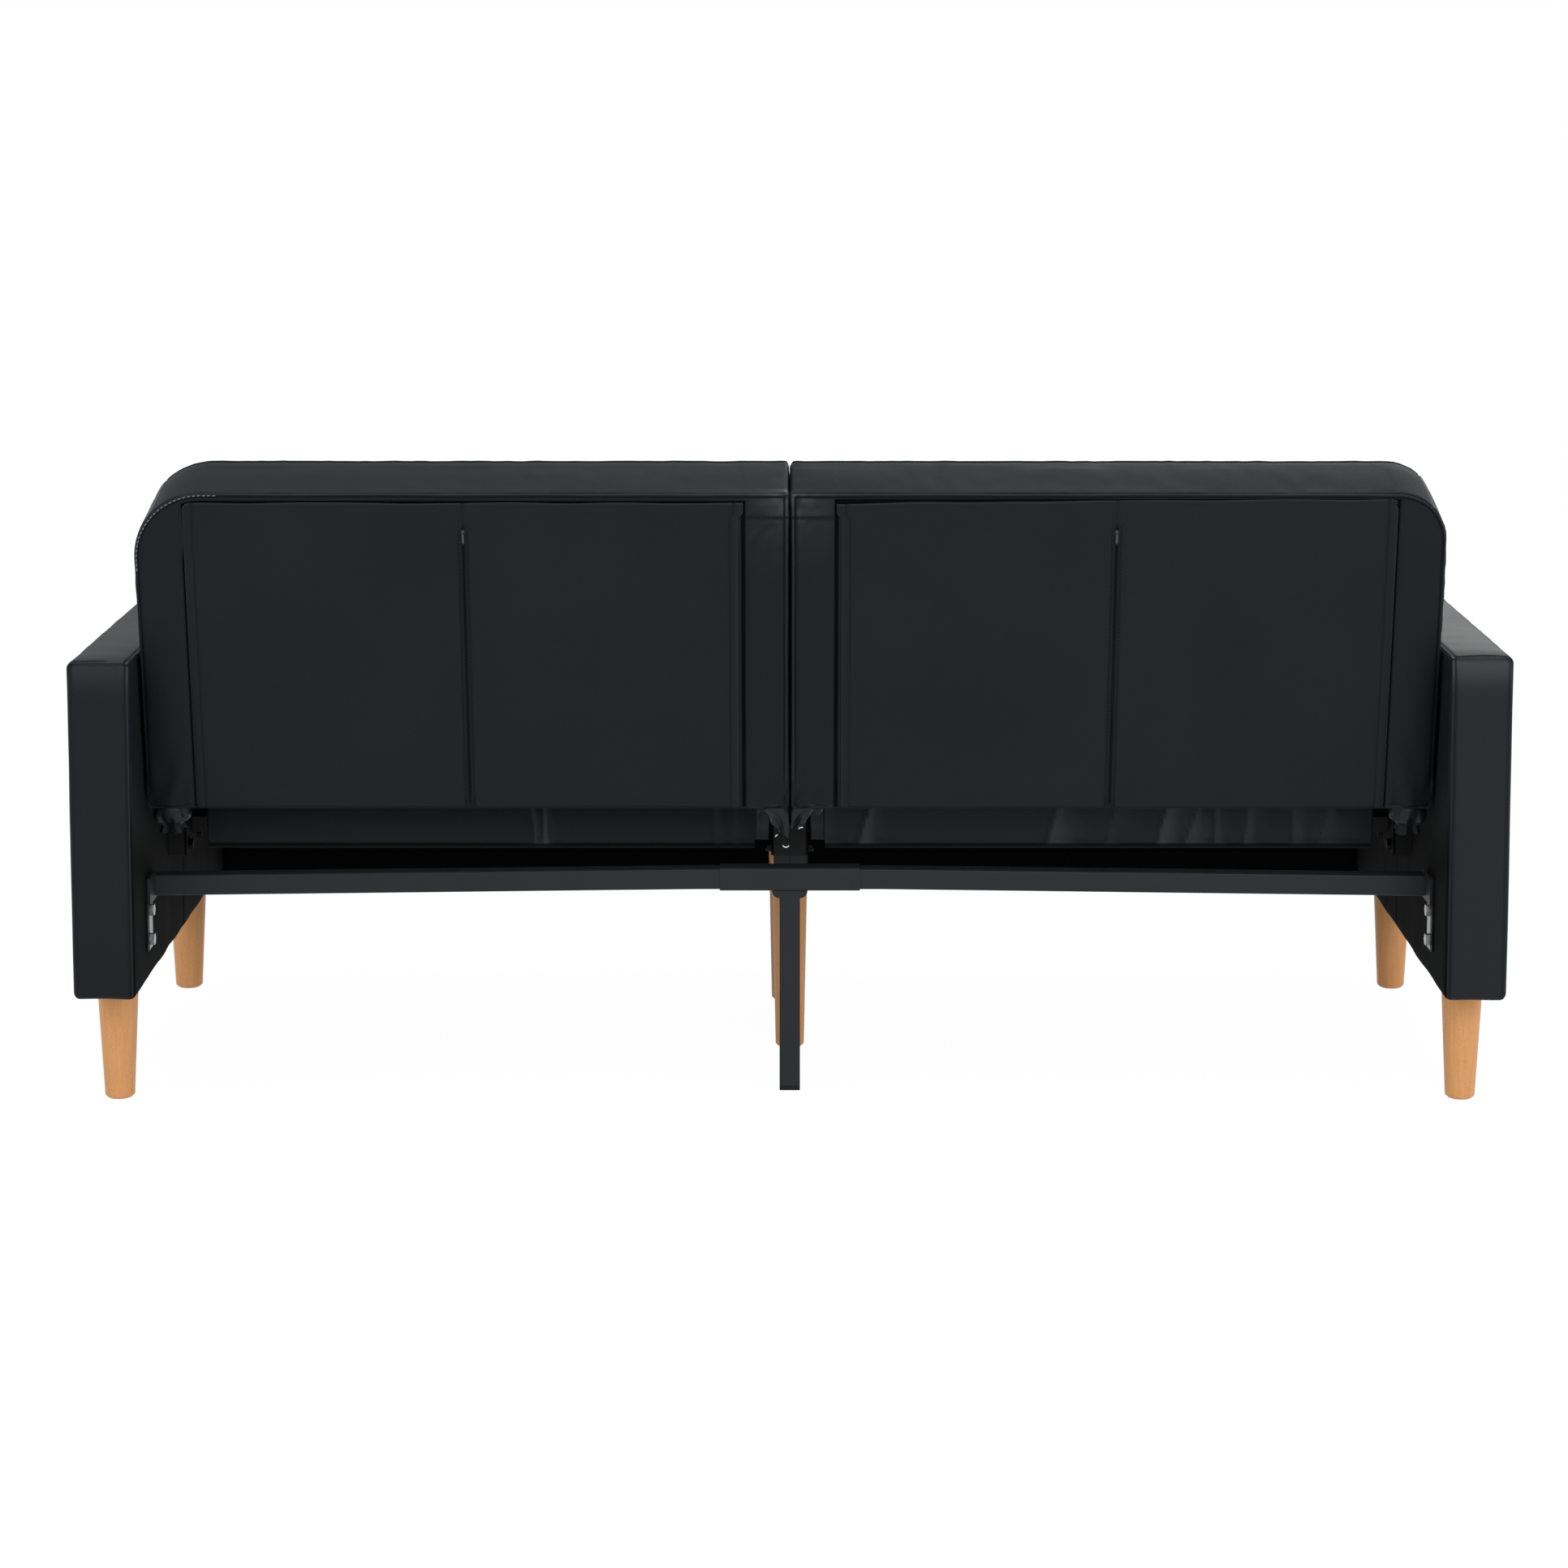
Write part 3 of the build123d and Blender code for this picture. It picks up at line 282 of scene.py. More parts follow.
# painted shade: one side of the centre legs' tops turns near-black and matt
painted = within(tree, (("X", "LESS_THAN", SHADE_EDGE_LEFT), ("X", "GREATER_THAN", SHADE_EDGE_RIGHT),
                        ("Z", "GREATER_THAN", SHADE_EDGE_LOW)))
tint = add(tree, "Mix", {0: painted, 6: tint, 7: "#0C0C0D"}, data_type="RGBA")
gloss = add(tree, "MapRange", {"Value": painted, "To Min": 0.4, "To Max": 0.95})
wood = add(tree, "BsdfPrincipled", {"Base Color": tint, "Roughness": gloss, "Normal": raised,
                                    "Specular IOR Level": 0.3})
add(tree, "OutputMaterial", {"Surface": wood})
dress(["centre_front_leg", "centre_rear_leg", *both("front_leg", "rear_leg")], beech)

# Arms: a flat wooden core under thin wadding, in black grained vinyl. The cover is two side
# panels and a strip that runs up the front, over the top and down the rear, sewn along the edges
# with a plain seam and stapled under the bottom edge.
MM = 0.001
PEBBLE = 0.0034          # real grain is about 1.2 mm; drawn coarser so that it shows
SHEEN_CLOUD = 0.14


def black_vinyl(name, low_gloss, high_gloss, sheen_level):
    """Polyurethane-coated fabric: embossed pebble grain with a soft, slightly uneven sheen. The attribute
    shade above zero is painted shade: it darkens and dulls creases, seams, recesses and faces in shade. Below
    zero it pales the colour: painted highlights on crests, rims and edges, and pale patches at the backs'
    inner corners."""
    material, tree = new_material(name)
    place = add(tree, "TexCoord").outputs["Object"]
    pebble = add(tree, "TexVoronoi", {"Vector": place, "Scale": 1 / PEBBLE}, feature="DISTANCE_TO_EDGE")
    pores = add(tree, "TexNoise", {"Vector": place, "Scale": 2 / PEBBLE, "Detail": 2.0})
    rounded = add(tree, "MapRange", {"Value": pebble, "From Max": 0.22}, interpolation_type="SMOOTHSTEP")
    height = add(tree, "Math", {0: pores, 1: 0.35, 2: rounded}, operation="MULTIPLY_ADD")
    raised = add(tree, "Bump", {"Height": height, "Strength": 0.10, "Distance": 0.0005})
    cloud = add(tree, "TexNoise", {"Vector": place, "Scale": 1 / SHEEN_CLOUD, "Detail": 3.0})
    skin = add(tree, "Mix", {0: cloud, 6: "#191C1F", 7: "#1F2225"}, data_type="RGBA")
    shade = add(tree, "Attribute", attribute_name="shade")
    # above zero the shade is painted shade; below zero it is painted highlight and the backs' pale corner
    # patches
    painted_shade = add(tree, "MapRange", {"Value": shade.outputs["Fac"]})
    paling = add(tree, "MapRange", {"Value": shade.outputs["Fac"], "From Max": -1.0})
    # 060708 is the colour of the painted shade, #63676A that of the painted highlight
    shaded_skin = add(tree, "Mix", {0: painted_shade, 6: skin, 7: "#060708"}, data_type="RGBA")
    tint = add(tree, "Mix", {0: paling, 6: shaded_skin, 7: "#63676A"}, data_type="RGBA")
    gloss = add(tree, "MapRange", {"Value": cloud, "To Min": low_gloss, "To Max": high_gloss})
    dulled = add(tree, "Mix", {0: painted_shade, 2: gloss, 3: 1.0})
    vinyl = add(tree, "BsdfPrincipled", {"Base Color": tint, "Roughness": dulled, "Normal": raised,
                                         "Specular IOR Level": sheen_level})
    add(tree, "OutputMaterial", {"Surface": vinyl})
    return material


cover_vinyl = black_vinyl("black_grained_vinyl", 0.44, 0.56, 0.10)
SEAM_LINES = (-3.5, -1.6, 0.0, 1.6, 3.5)     # grid lines beside a seam
EDGE_LINES = (0.0, 0.32, 0.66)               # shares of a rounded edge
SEAM_CLEAR, LINE_CLEAR = 1.5, 0.7            # least gaps to a seam's lines and to the last line


def grid_lines(low, high, step, edge, seams):
    """Places of a pad's grid lines: even steps, closer in the rounded edges and at seams."""
    rows = max(2, round((high - low - 2 * edge) / step))
    inner = np.linspace(low + edge, high - edge, rows + 1)
    shares = np.array(EDGE_LINES)
    beside = [place + gap for place in seams for gap in SEAM_LINES]
    lines = [*(low + edge * shares), *(high - edge * shares), *beside]
    lines.extend(v for v in inner if all(abs(v - s) > SEAM_CLEAR for s in beside))
    lines = np.unique(np.round([v for v in lines if low <= v <= high], 3))
    keep = [lines[0]]
    for value in lines[1:]:
        if value - keep[-1] > LINE_CLEAR:
            keep.append(value)
    keep[-1] = lines[-1]
    return np.array(keep)


def soft_box(*spans, edge):
    """Closed skin of a block on grid lines, with rounded edges: points, their places on the
    block before rounding, and faces that point outwards. A span is low, high, step and seams."""
    lines = [grid_lines(low, high, step, edge, seams) for low, high, step, *seams in spans]
    counts = [len(line) for line in lines]
    index = {}
    flat = []

    def at(spot):
        if spot not in index:
            index[spot] = len(flat)
            flat.append([line[k] for line, k in zip(lines, spot)])
        return index[spot]

    faces = []
    for axis in range(3):
        a, b = (axis + 1) % 3, (axis + 2) % 3
        for end in (0, counts[axis] - 1):
            for p in range(counts[a] - 1):
                for q in range(counts[b] - 1):
                    ring = []
                    for dp, dq in ((0, 0), (1, 0), (1, 1), (0, 1)):
                        spot = [0, 0, 0]
                        spot[axis], spot[a], spot[b] = end, p + dp, q + dq
                        ring.append(at(tuple(spot)))
                    faces.append(ring if end else ring[::-1])
    flat = np.array(flat)
    core = np.clip(flat, flat.min(axis=0) + edge, flat.max(axis=0) - edge)
    out = flat - core
    length = np.linalg.norm(out, axis=1, keepdims=True)
    points = core + out / np.maximum(length, 1e-9) * edge
    return points, flat, np.array(faces)


def point_normals(points, faces):
    """Outward direction at each point."""
    corner = points[faces]
    across = np.cross(corner[:, 2] - corner[:, 0], corner[:, 3] - corner[:, 1])
    total = np.zeros_like(points)
    for k in range(4):
        np.add.at(total, faces[:, k], across)
    return total / np.maximum(np.linalg.norm(total, axis=1, keepdims=True), 1e-9)


def waves(places, size, seed):
    """Smooth random heights from -1 to 1 at places in mm; size is the wave's size in mm."""
    scaled = places / np.array(size) + np.array([seed * 17.3, seed * 5.1, seed * 9.7])
    return np.array([noise.noise(Vector(row)) for row in scaled])


def ridge(distance, width):
    """Height of 1 on a line, falling to 0 about a width away from it."""
    return np.exp(-(distance / width) ** 2)


def share(value, start, end):
    """Share from 0 at start to 1 at end."""
    return np.clip((value - start) / (end - start), 0, 1)


def ramp(value, start, end):
    """Share from 0 at start to 1 at end, eased at both."""
    even = share(value, start, end)
    return even * even * (3 - 2 * even)


def piece(name, points, faces, material, shade=None, mirror=False):
    """Mesh object from points in mm, with the shade that its material reads."""
    points = points * MM
    faces = [list(face) for face in faces]
    if mirror:
        points = points * np.array([-1.0, 1.0, 1.0])
        faces = [face[::-1] for face in faces]
    mesh = bpy.data.meshes.new(name)
    mesh.from_pydata(points.tolist(), [], faces)
    mesh.update()
    mesh.shade_smooth()
    mesh.materials.append(material)
    values = mesh.attributes.new("shade", "FLOAT", "POINT")
    if shade is not None:
        values.data.foreach_set("value", np.clip(shade, -1, 1).astype(np.float32))
    made = bpy.data.objects.new(name, mesh)
    scene.collection.objects.link(made)
    return made


ARM_IN, ARM_OUT = 776.0, 850.0
ARM_FRONT, ARM_REAR = -358.0, 358.0
ARM_LOW, ARM_TOP = 143.0, 548.0
ARM_EDGE, ARM_SEAM = 8.0, 5.0
BRACKET_Y, BRACKET_Z = 261.0, 226.0          # the wall plate holds the cover flat round it
SEAT_SHADE_TOP, SEAT_SHADE_LOW = 430.0, 300.0
ARM_LIFT = {"left": 0.0, "right": 7.0}       # the right arm is padded a little higher
ARM_LIFT_FROM = 380.0
ARM_TOP_LEAN = 5.0
ARM_TOP_SHADE = {"left": 0.05, "right": 0.12}     # share of painted shade on the top
ARM_RIM_HIGHLIGHT = {"left": 0.1, "right": 0.24}    # share of painted highlight at the rear end's upper edge
ARM_REAR_LIGHT = {"left": 0.01, "right": 0.045}    # share of painted light on the whole rear end
ARM_ROLL = {"left": 1.0, "right": 0.35}      # height of the inner edge's rolled seam
for side, seed in (("left", 1), ("right", 2)):
    points, flat, faces = soft_box(
        (ARM_IN, ARM_OUT, 8, ARM_IN + ARM_SEAM, ARM_OUT - ARM_SEAM),
        (ARM_FRONT, ARM_REAR, 9, ARM_REAR - ARM_SEAM, 0.0),
        (ARM_LOW, ARM_TOP, 9, ARM_TOP - ARM_SEAM), edge=ARM_EDGE)
    x, y, z = flat.T
    outward = point_normals(points, faces)
    on_side = (x <= ARM_IN) | (x >= ARM_OUT)
    on_end = (y <= ARM_FRONT) | (y >= ARM_REAR)
    on_top = z >= ARM_TOP
    along = share(y, ARM_FRONT, ARM_REAR)
    rise = share(z, ARM_LOW, ARM_TOP)
    swell = on_side * 1.2 * np.sin(np.pi * along) * np.sin(np.pi * rise)
    swell += (on_top & ~on_side) * 1.8 * np.sin(np.pi * (x - ARM_IN) / (ARM_OUT - ARM_IN))
    on_strip = (on_end | on_top) & ~on_side
    strip_seam = on_strip * (ridge(x - ARM_IN - ARM_SEAM, 1.5) + 0.4 * ridge(x - ARM_OUT + ARM_SEAM, 1.5))
    roll = (on_end | on_top) * ARM_ROLL[side] * ridge(x - ARM_IN - 1, 2.6)
    top_seam = (on_top & ~on_side) * ridge(y - ARM_REAR + ARM_SEAM, 1.3)
    top_seam *= ramp(x, ARM_IN + 26, ARM_IN + 34) if side == "left" else 1.0
    rim_highlight = on_strip * ridge(y - ARM_REAR + 2, 4.0) * ridge(z - ARM_TOP, 6.0)
    middle_seam = (x <= ARM_IN) * ridge(y, 1.6)
    seams = np.maximum.reduce([strip_seam * 0.5, top_seam, middle_seam])
    corner = np.exp(-np.hypot(x - ARM_IN - 4, z - ARM_TOP) / 14.0) * (y >= ARM_REAR - 12)
    pinch = corner * np.cos((x - ARM_IN) * 0.9) * 1.2
    ripple = waves(flat, (60, 45, 150), seed) * 0.8 + waves(flat, (24, 24, 60), seed + 4) * 0.3
    near_bracket = (x <= ARM_IN) * ridge(y - BRACKET_Y, 60) * ridge(z - BRACKET_Z, 80)
    ripple = np.where(near_bracket > 0.05, ripple * (1 - near_bracket) - 0.3 * near_bracket, ripple)
    folds = (x <= ARM_IN) * ridge(z - ARM_LOW, 90) * waves(flat, (400, 60, 400), seed + 6) * 0.9
    folds *= 1 - near_bracket
    points = points + outward * (swell - 1.4 * seams + 0.8 * roll + ripple * 0.7 + pinch + folds)[:, None]
    sag = np.exp(-(z - ARM_LOW) / 14.0) * (waves(flat, (50, 60, 900), seed + 8) * 2.0 - 1.0)
    points[:, 2] = np.maximum(points[:, 2] + np.minimum(sag, 0.5), ARM_LOW - 4.0)
    points[:, 2] += ARM_LIFT[side] * ramp(z, ARM_LIFT_FROM, ARM_TOP)
    points[:, 1] -= ARM_TOP_LEAN * ramp(z, ARM_TOP - 34, ARM_TOP) ** 2 * (y >= ARM_REAR)
    # painted shade on the inner face below the seat
    shade_below_seat = (x <= ARM_IN) * ramp(-z, -SEAT_SHADE_TOP, -SEAT_SHADE_LOW)
    # painted shade on the top, darker towards the rear end; painted light on the rear end, brighter at its
    # upper edge
    painted_light = ARM_TOP_SHADE[side] + 0.15 * ramp(y, ARM_REAR - 60, ARM_REAR - 20)
    painted_light = (on_top & ~on_side & (y < ARM_REAR - ARM_EDGE)) * painted_light
    painted_light = painted_light - (y >= ARM_REAR) * (ARM_REAR_LIGHT[side] + ARM_RIM_HIGHLIGHT[side] * ramp(z, ARM_TOP - 45, ARM_TOP - 6))
    # painted shade in the seams and below the seat, and painted highlight on the rolled inner edge
    shade = np.maximum(seams - 0.5 * top_seam, 0) + painted_light + 0.95 * shade_below_seat - 0.12 * roll
    # painted highlights at the inner rear corner and on the rim behind the top seam
    shade = shade - 0.25 * corner * (np.abs(x - ARM_IN - 4) < 4) - 0.22 * rim_highlight * (1 - top_seam)
    cover = piece(f"{side}_arm_vinyl", points, faces, cover_vinyl, shade, side == "right")
    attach(cover, "base")
    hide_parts(f"{side}_arm_cover")

# Apron: a padded board across the front under each seat half, in the same vinyl, with a non-woven lining
# stapled behind it, drawn near-black as painted shade. The ends butt against the arm and against the other
# half.
APRON_IN, APRON_OUT = 0.0, 775.8
APRON_FRONT, APRON_REAR = -356.0, -333.6
APRON_LOW, APRON_TOP = 129.0, 281.7
APRON_EDGE = 2.0
TAIL_REACH, TAIL_HIGH, TAIL_LOW = 8.0, 157.0, 149.0     # the lower end reaches on under the arm
FIBRE = 0.0016           # real fibres are finer than 0.1 mm; drawn coarser so that the felting shows
# near-black and matt, as painted shade in the gap between the seat and the rail
lining = finish("non_woven_lining_in_painted_shade", "#020202", "#0A0A0A", 0.95, sheen=0.05, grain=FIBRE, detail=3.0,
                twist=1.5, relief=(0.3, 0.0003))
for side, seed in (("left", 21), ("right", 22)):
    points, flat, faces = soft_box((APRON_IN, APRON_OUT, 9), (APRON_FRONT, APRON_REAR, 6),
                                   (APRON_LOW, APRON_TOP, 8), edge=APRON_EDGE)
    x, y, z = flat.T
    outward = point_normals(points, faces)
    on_front = y <= APRON_FRONT
    along = share(x, APRON_IN, APRON_OUT)
    rise = share(z, APRON_LOW, APRON_TOP)
    swell = on_front * (np.sin(np.pi * along) * np.sin(np.pi * rise)) ** 0.5
    ripple = on_front * waves(flat, (55, 40, 70), seed) * 0.6
    points = points + outward * (swell + ripple)[:, None]
    points[:, 0] += TAIL_REACH * ramp(-z, -TAIL_HIGH, -TAIL_LOW) * ramp(x, APRON_OUT - 16, APRON_OUT)
    cover = piece(f"{side}_apron_vinyl", points, faces, cover_vinyl, None, side == "right")
    cover.data.materials.append(lining)
    behind = (y[faces] >= APRON_REAR).all(axis=1)
    cover.data.polygons.foreach_set("material_index", behind.astype(np.int32))
    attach(cover, "base")
    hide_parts(f"{side}_apron_cover")

# Seat cushions: a foam block on slats in a boxed vinyl cover. A sewn edge runs round the top of
# the boxing, and the slack rear face hangs in folds. The rear corners are cut out for the hinges.
SEAT_IN, SEAT_OUT = 2.0, 772.0
SEAT_FRONT, SEAT_REAR = -352.0, 142.0
SEAT_LOW, SEAT_TOP = 282.0, 397.0
SEAT_EDGE, SEAT_SEAM = 9.0, 8.0
NOTCH_IN, NOTCH_OUT = 24.5, 722.0
NOTCH_FRONT, NOTCH_TOP = 58.0, 390.5
STEP_IN, STEP_FRONT = 42.0, 106.0
CUT_EASE = 1.6
SEAT_SWELL, SETTLE_STEPS = 8.0, 20
HEM_DROP = 4.0
SEAT_LAP = 0.9                               # the inner faces wave alike, so that they almost touch
SEAT_REAR_SHADE = {"left": 0.28, "right": 0.16}         # share of painted shade on the rear face
# folds of the rear face: place at the hem and a fold's rise above it, width at both, strength
FOLD_RISE = 48.0
FOLDS = {"left": ((314, 318, 6, 3, 0.9), (305, 303, 8, 4, 1.2), (91, 92, 7, 5, 0.5), (70, 68, 10, 5, 0.4)),
         "right": ((44, 41, 10, 8, 0.5), (84, 100, 20, 8, 0.9), (318, 332, 36, 10, 0.8),
                   (389, 406, 20, 12, 0.5), (454, 467, 23, 20, 1.0), (487, 506, 34, 3, 0.8),
                   (526, 528, 14, 6, 0.7), (562, 568, 14, 14, 0.7), (624, 622, 18, 18, 0.6),
                   (651, 669, 50, 8, 0.5))}
seat_vinyl = black_vinyl("black_grained_vinyl_on_the_seat", 0.30, 0.42, 0.2)


def inflate(points, faces, sewn, swell):
    """Cloth simulation of a sewn cover over foam: the cover is held where it is sewn, swells
    under pressure elsewhere, and its largest move is brought to the swell."""
    mesh = bpy.data.meshes.new("cover_at_rest")
    mesh.from_pydata((points * MM).tolist(), [], faces.tolist())
    mesh.update()
    sack = bpy.data.objects.new("cover_at_rest", mesh)
    scene.collection.objects.link(sack)
    held = sack.vertex_groups.new(name="sewn")
    held.add(np.flatnonzero(sewn).tolist(), 1.0, "REPLACE")
    cloth = sack.modifiers.new("cover", "CLOTH")
    for label, value in (("quality", 4), ("mass", 0.3), ("bending_stiffness", 0.3),
                         ("vertex_group_mass", held.name), ("use_pressure", True),
                         ("uniform_pressure_force", 4.0), ("shrink_min", -0.006)):
        setattr(cloth.settings, label, value)
    cloth.settings.effector_weights.gravity = 0.0
    cloth.point_cache.frame_start, cloth.point_cache.frame_end = 1, SETTLE_STEPS
    for step in range(1, SETTLE_STEPS + 1):
        scene.frame_set(step)
    shown = sack.evaluated_get(bpy.context.evaluated_depsgraph_get())
    moved = np.empty(len(points) * 3, np.float32)
    shown.data.vertices.foreach_get("co", moved)
    move = moved.reshape(-1, 3) / MM - points
    scene.frame_set(1)
    bpy.data.objects.remove(sack)
    bpy.data.meshes.remove(mesh)
    return points + move * (swell / np.linalg.norm(move, axis=1).max())


for side, seed in (("left", 31), ("right", 32)):
    points, flat, faces = soft_box(
        (SEAT_IN, SEAT_OUT, 4, SEAT_IN + SEAT_SEAM, SEAT_OUT - SEAT_SEAM, NOTCH_IN, STEP_IN, NOTCH_OUT),
        (SEAT_FRONT, SEAT_REAR, 9, SEAT_FRONT + SEAT_SEAM, NOTCH_FRONT, STEP_FRONT),
        (SEAT_LOW, SEAT_TOP, 6, SEAT_TOP - SEAT_SEAM), edge=SEAT_EDGE)
    x, y, z = flat.T
    on_top = z >= SEAT_TOP
    on_rear = y >= SEAT_REAR
    on_front = y <= SEAT_FRONT
    on_end = (x <= SEAT_IN) | (x >= SEAT_OUT)
    along = share(x, SEAT_IN, SEAT_OUT)
    depth = share(y, SEAT_FRONT, SEAT_REAR)
    edge_line = np.minimum.reduce([x - SEAT_IN, SEAT_OUT - x, y - SEAT_FRONT])
    sewn = ~on_top & ~(on_front & (z > SEAT_LOW + 12) & (z < SEAT_TOP - 12))
    sewn |= on_top & ((edge_line <= SEAT_SEAM) | (y > SEAT_REAR - 10))
    points = inflate(points, faces, sewn, SEAT_SWELL)
    outward = point_normals(points, faces)
    draw = -3.0 * np.where(on_end, np.sin(np.pi * depth), np.sin(np.pi * along))
    draw = ((on_front | on_end) & ~on_top & (x > SEAT_IN)) * draw
    seams = on_top * ridge(edge_line - SEAT_SEAM, 1.7)
    pucker = on_top * ridge(edge_line - SEAT_SEAM, 24.0) * waves(flat, (17, 17, 40), seed) * 0.9
    hang = on_rear * ramp(SEAT_TOP - z, 12, 60) * ramp(z, SEAT_LOW + 1, SEAT_LOW + 12)
    climb = (z - SEAT_LOW) / FOLD_RISE
    crest = np.zeros(len(flat))
    flank = np.zeros(len(flat))
    for low_place, high_place, low_width, high_width, strength in FOLDS[side]:
        off = (x - low_place - (high_place - low_place) * climb) * -SIDES[side]
        width = np.maximum(low_width + (high_width - low_width) * climb, 3.0)
        fold = np.where(off < 0, ridge(off, 3.2), ridge(off, width) ** 0.7)
        crest = np.maximum(crest, strength * fold)
        flank = np.maximum(flank, strength * ridge(off + 3.2, 2.2))
    gather = hang * (5.0 * crest - 1.0 + waves(flat, (45, 300, 90), seed + 1) * 1.2)
    slack = on_top * (waves(flat, (150, 120, 90), seed + 3) * 1.6
                      + waves(flat, (48, 60, 60), seed + 5) * 0.5)
    points = points + outward * (draw - 1.3 * seams + pucker + gather)[:, None]
    drop = ramp(y, SEAT_REAR - 30, SEAT_REAR - 8) * ramp(-z, -SEAT_LOW - 30, -SEAT_LOW)
    points[:, 2] += slack - HEM_DROP * drop
    touching = ramp(z, SEAT_LOW + 3, SEAT_LOW + 10) * ramp(-z, 3 - SEAT_TOP, 10 - SEAT_TOP) * (x <= SEAT_IN)
    lapping = SEAT_LAP * np.sin(y / 9 + z / 14) * SIDES[side]
    points[:, 0] += touching * ramp(-y, -SEAT_REAR, -SEAT_REAR + 9) * (lapping - SEAT_IN + 0.05)
    within_notch, within_step, beyond_notch, behind_notch, behind_step = [
        ramp(way, line - CUT_EASE, line + CUT_EASE)
        for way, line in ((-x, -NOTCH_IN), (-x, -STEP_IN), (x, NOTCH_OUT), (y, NOTCH_FRONT), (y, STEP_FRONT))]
    cut = np.maximum(np.maximum(within_notch, beyond_notch) * behind_notch, within_step * behind_step)
    top_here = SEAT_TOP + 2.0
    lifted = np.clip((points[:, 2] - SEAT_LOW) / (top_here - SEAT_LOW), 0, None)
    lifted = NOTCH_TOP + lifted * (top_here - NOTCH_TOP)
    points[:, 2] = np.where(points[:, 2] < top_here, points[:, 2] * (1 - cut) + lifted * cut, points[:, 2])
    # painted shade on the rear face, darker towards the top and beside the folds' steep flanks; painted
    # highlight on the folds' crests
    painted_light = SEAT_REAR_SHADE[side] * (1 + ramp(z, SEAT_LOW + 5, SEAT_LOW + 50)) + 0.2 * flank - 0.55 * crest
    # painted shade along the hem
    painted_light = np.where(z < SEAT_LOW + 6, 1.0, painted_light)
    # painted shade in the top seams
    shade = seams * 0.7 + painted_light * (y > SEAT_REAR - 10) * (z < SEAT_TOP - 12)
    # painted shade on the notch walls
    shade = np.where((x > NOTCH_OUT - 2) & (y > NOTCH_FRONT - 3), 0.85, shade)
    cover = piece(f"{side}_seat_vinyl", points, faces, seat_vinyl, shade, side == "right")
    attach(cover, "base")
    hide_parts(f"{side}_seat_cushion")

# Back cushions: foam over a webbed frame, in a boxed vinyl cover with a wide round shoulder at
# the outer end. The boxing strip is sewn to the front and the rear face with a rolled edge, and
# the two backs press lightly against each other.
LEAN = math.radians(11.0)
HINGE_Y, HINGE_Z = 168.0, 385.0
BACK_IN, BACK_OUT = 2.0, 772.0
BACK_LOW, BACK_HIGH = -5.0, 389.0
BACK_REAR, BACK_FRONT = -105.0, 11.0
SHOULDERS = {"left": 82.0, "right": 60.0}    # the right one is sewn tighter
BACK_EDGE, BACK_SEAM, LIP_SEAM = 4.0, 7.5, 4.6
TOP_LIFT = 4.5
REAR_DROP = 5.0
BACK_TOP_SHADE = {"left": 0.25, "right": 0.32}     # share of painted shade on the top
BACK_SWELL = 8.0
PANEL_IN, PANEL_OUT, PANEL_HIGH = 55.0, 713.0, 377.0
PANEL_RECESS, PANEL_GAP = 2.8, 2.0
POUCH_IN, POUCH_OUT = 21.0, 746.0
BORDER_SEAM = 359.0
DRAWN_X, DRAWN_UP = 720.0, 38.0              # top of the slanting fold above the outer pouch
HINGE_CUT_WIDE, HINGE_CUT_HIGH, HINGE_CUT_BACK = 38.0, 36.0, -35.0
# the inner faces wave about the hinge line, so that they pass each other at any angle
MEET_GAP, MEET_WAVE, MEET_LENGTH = 0.35, 0.6, 6.0
pad_vinyl = black_vinyl("black_grained_vinyl_over_foam", 0.42, 0.54, 0.08)


def lean_back(local):
    """Points of the back's own plane (along, up the back, out of its front) in the room."""
    x, up, out = local.T
    return np.stack([x, HINGE_Y + up * math.sin(LEAN) - out * math.cos(LEAN),
                     HINGE_Z + up * math.cos(LEAN) + out * math.sin(LEAN)], axis=1)


def round_corner(points, right, top, radius):
    """Bends the outer top corner of a back or a panel to a round one."""
    a = points[:, 0] - (right - radius)
    b = points[:, 1] - (top - radius)
    inside = (a > 0) & (b > 0)
    squeeze = np.maximum(a, b) / np.maximum(np.hypot(a, b), 1e-9)
    points = points.copy()
    points[inside, 0] = (right - radius) + (a * squeeze)[inside]
    points[inside, 1] = (top - radius) + (b * squeeze)[inside]
    return points


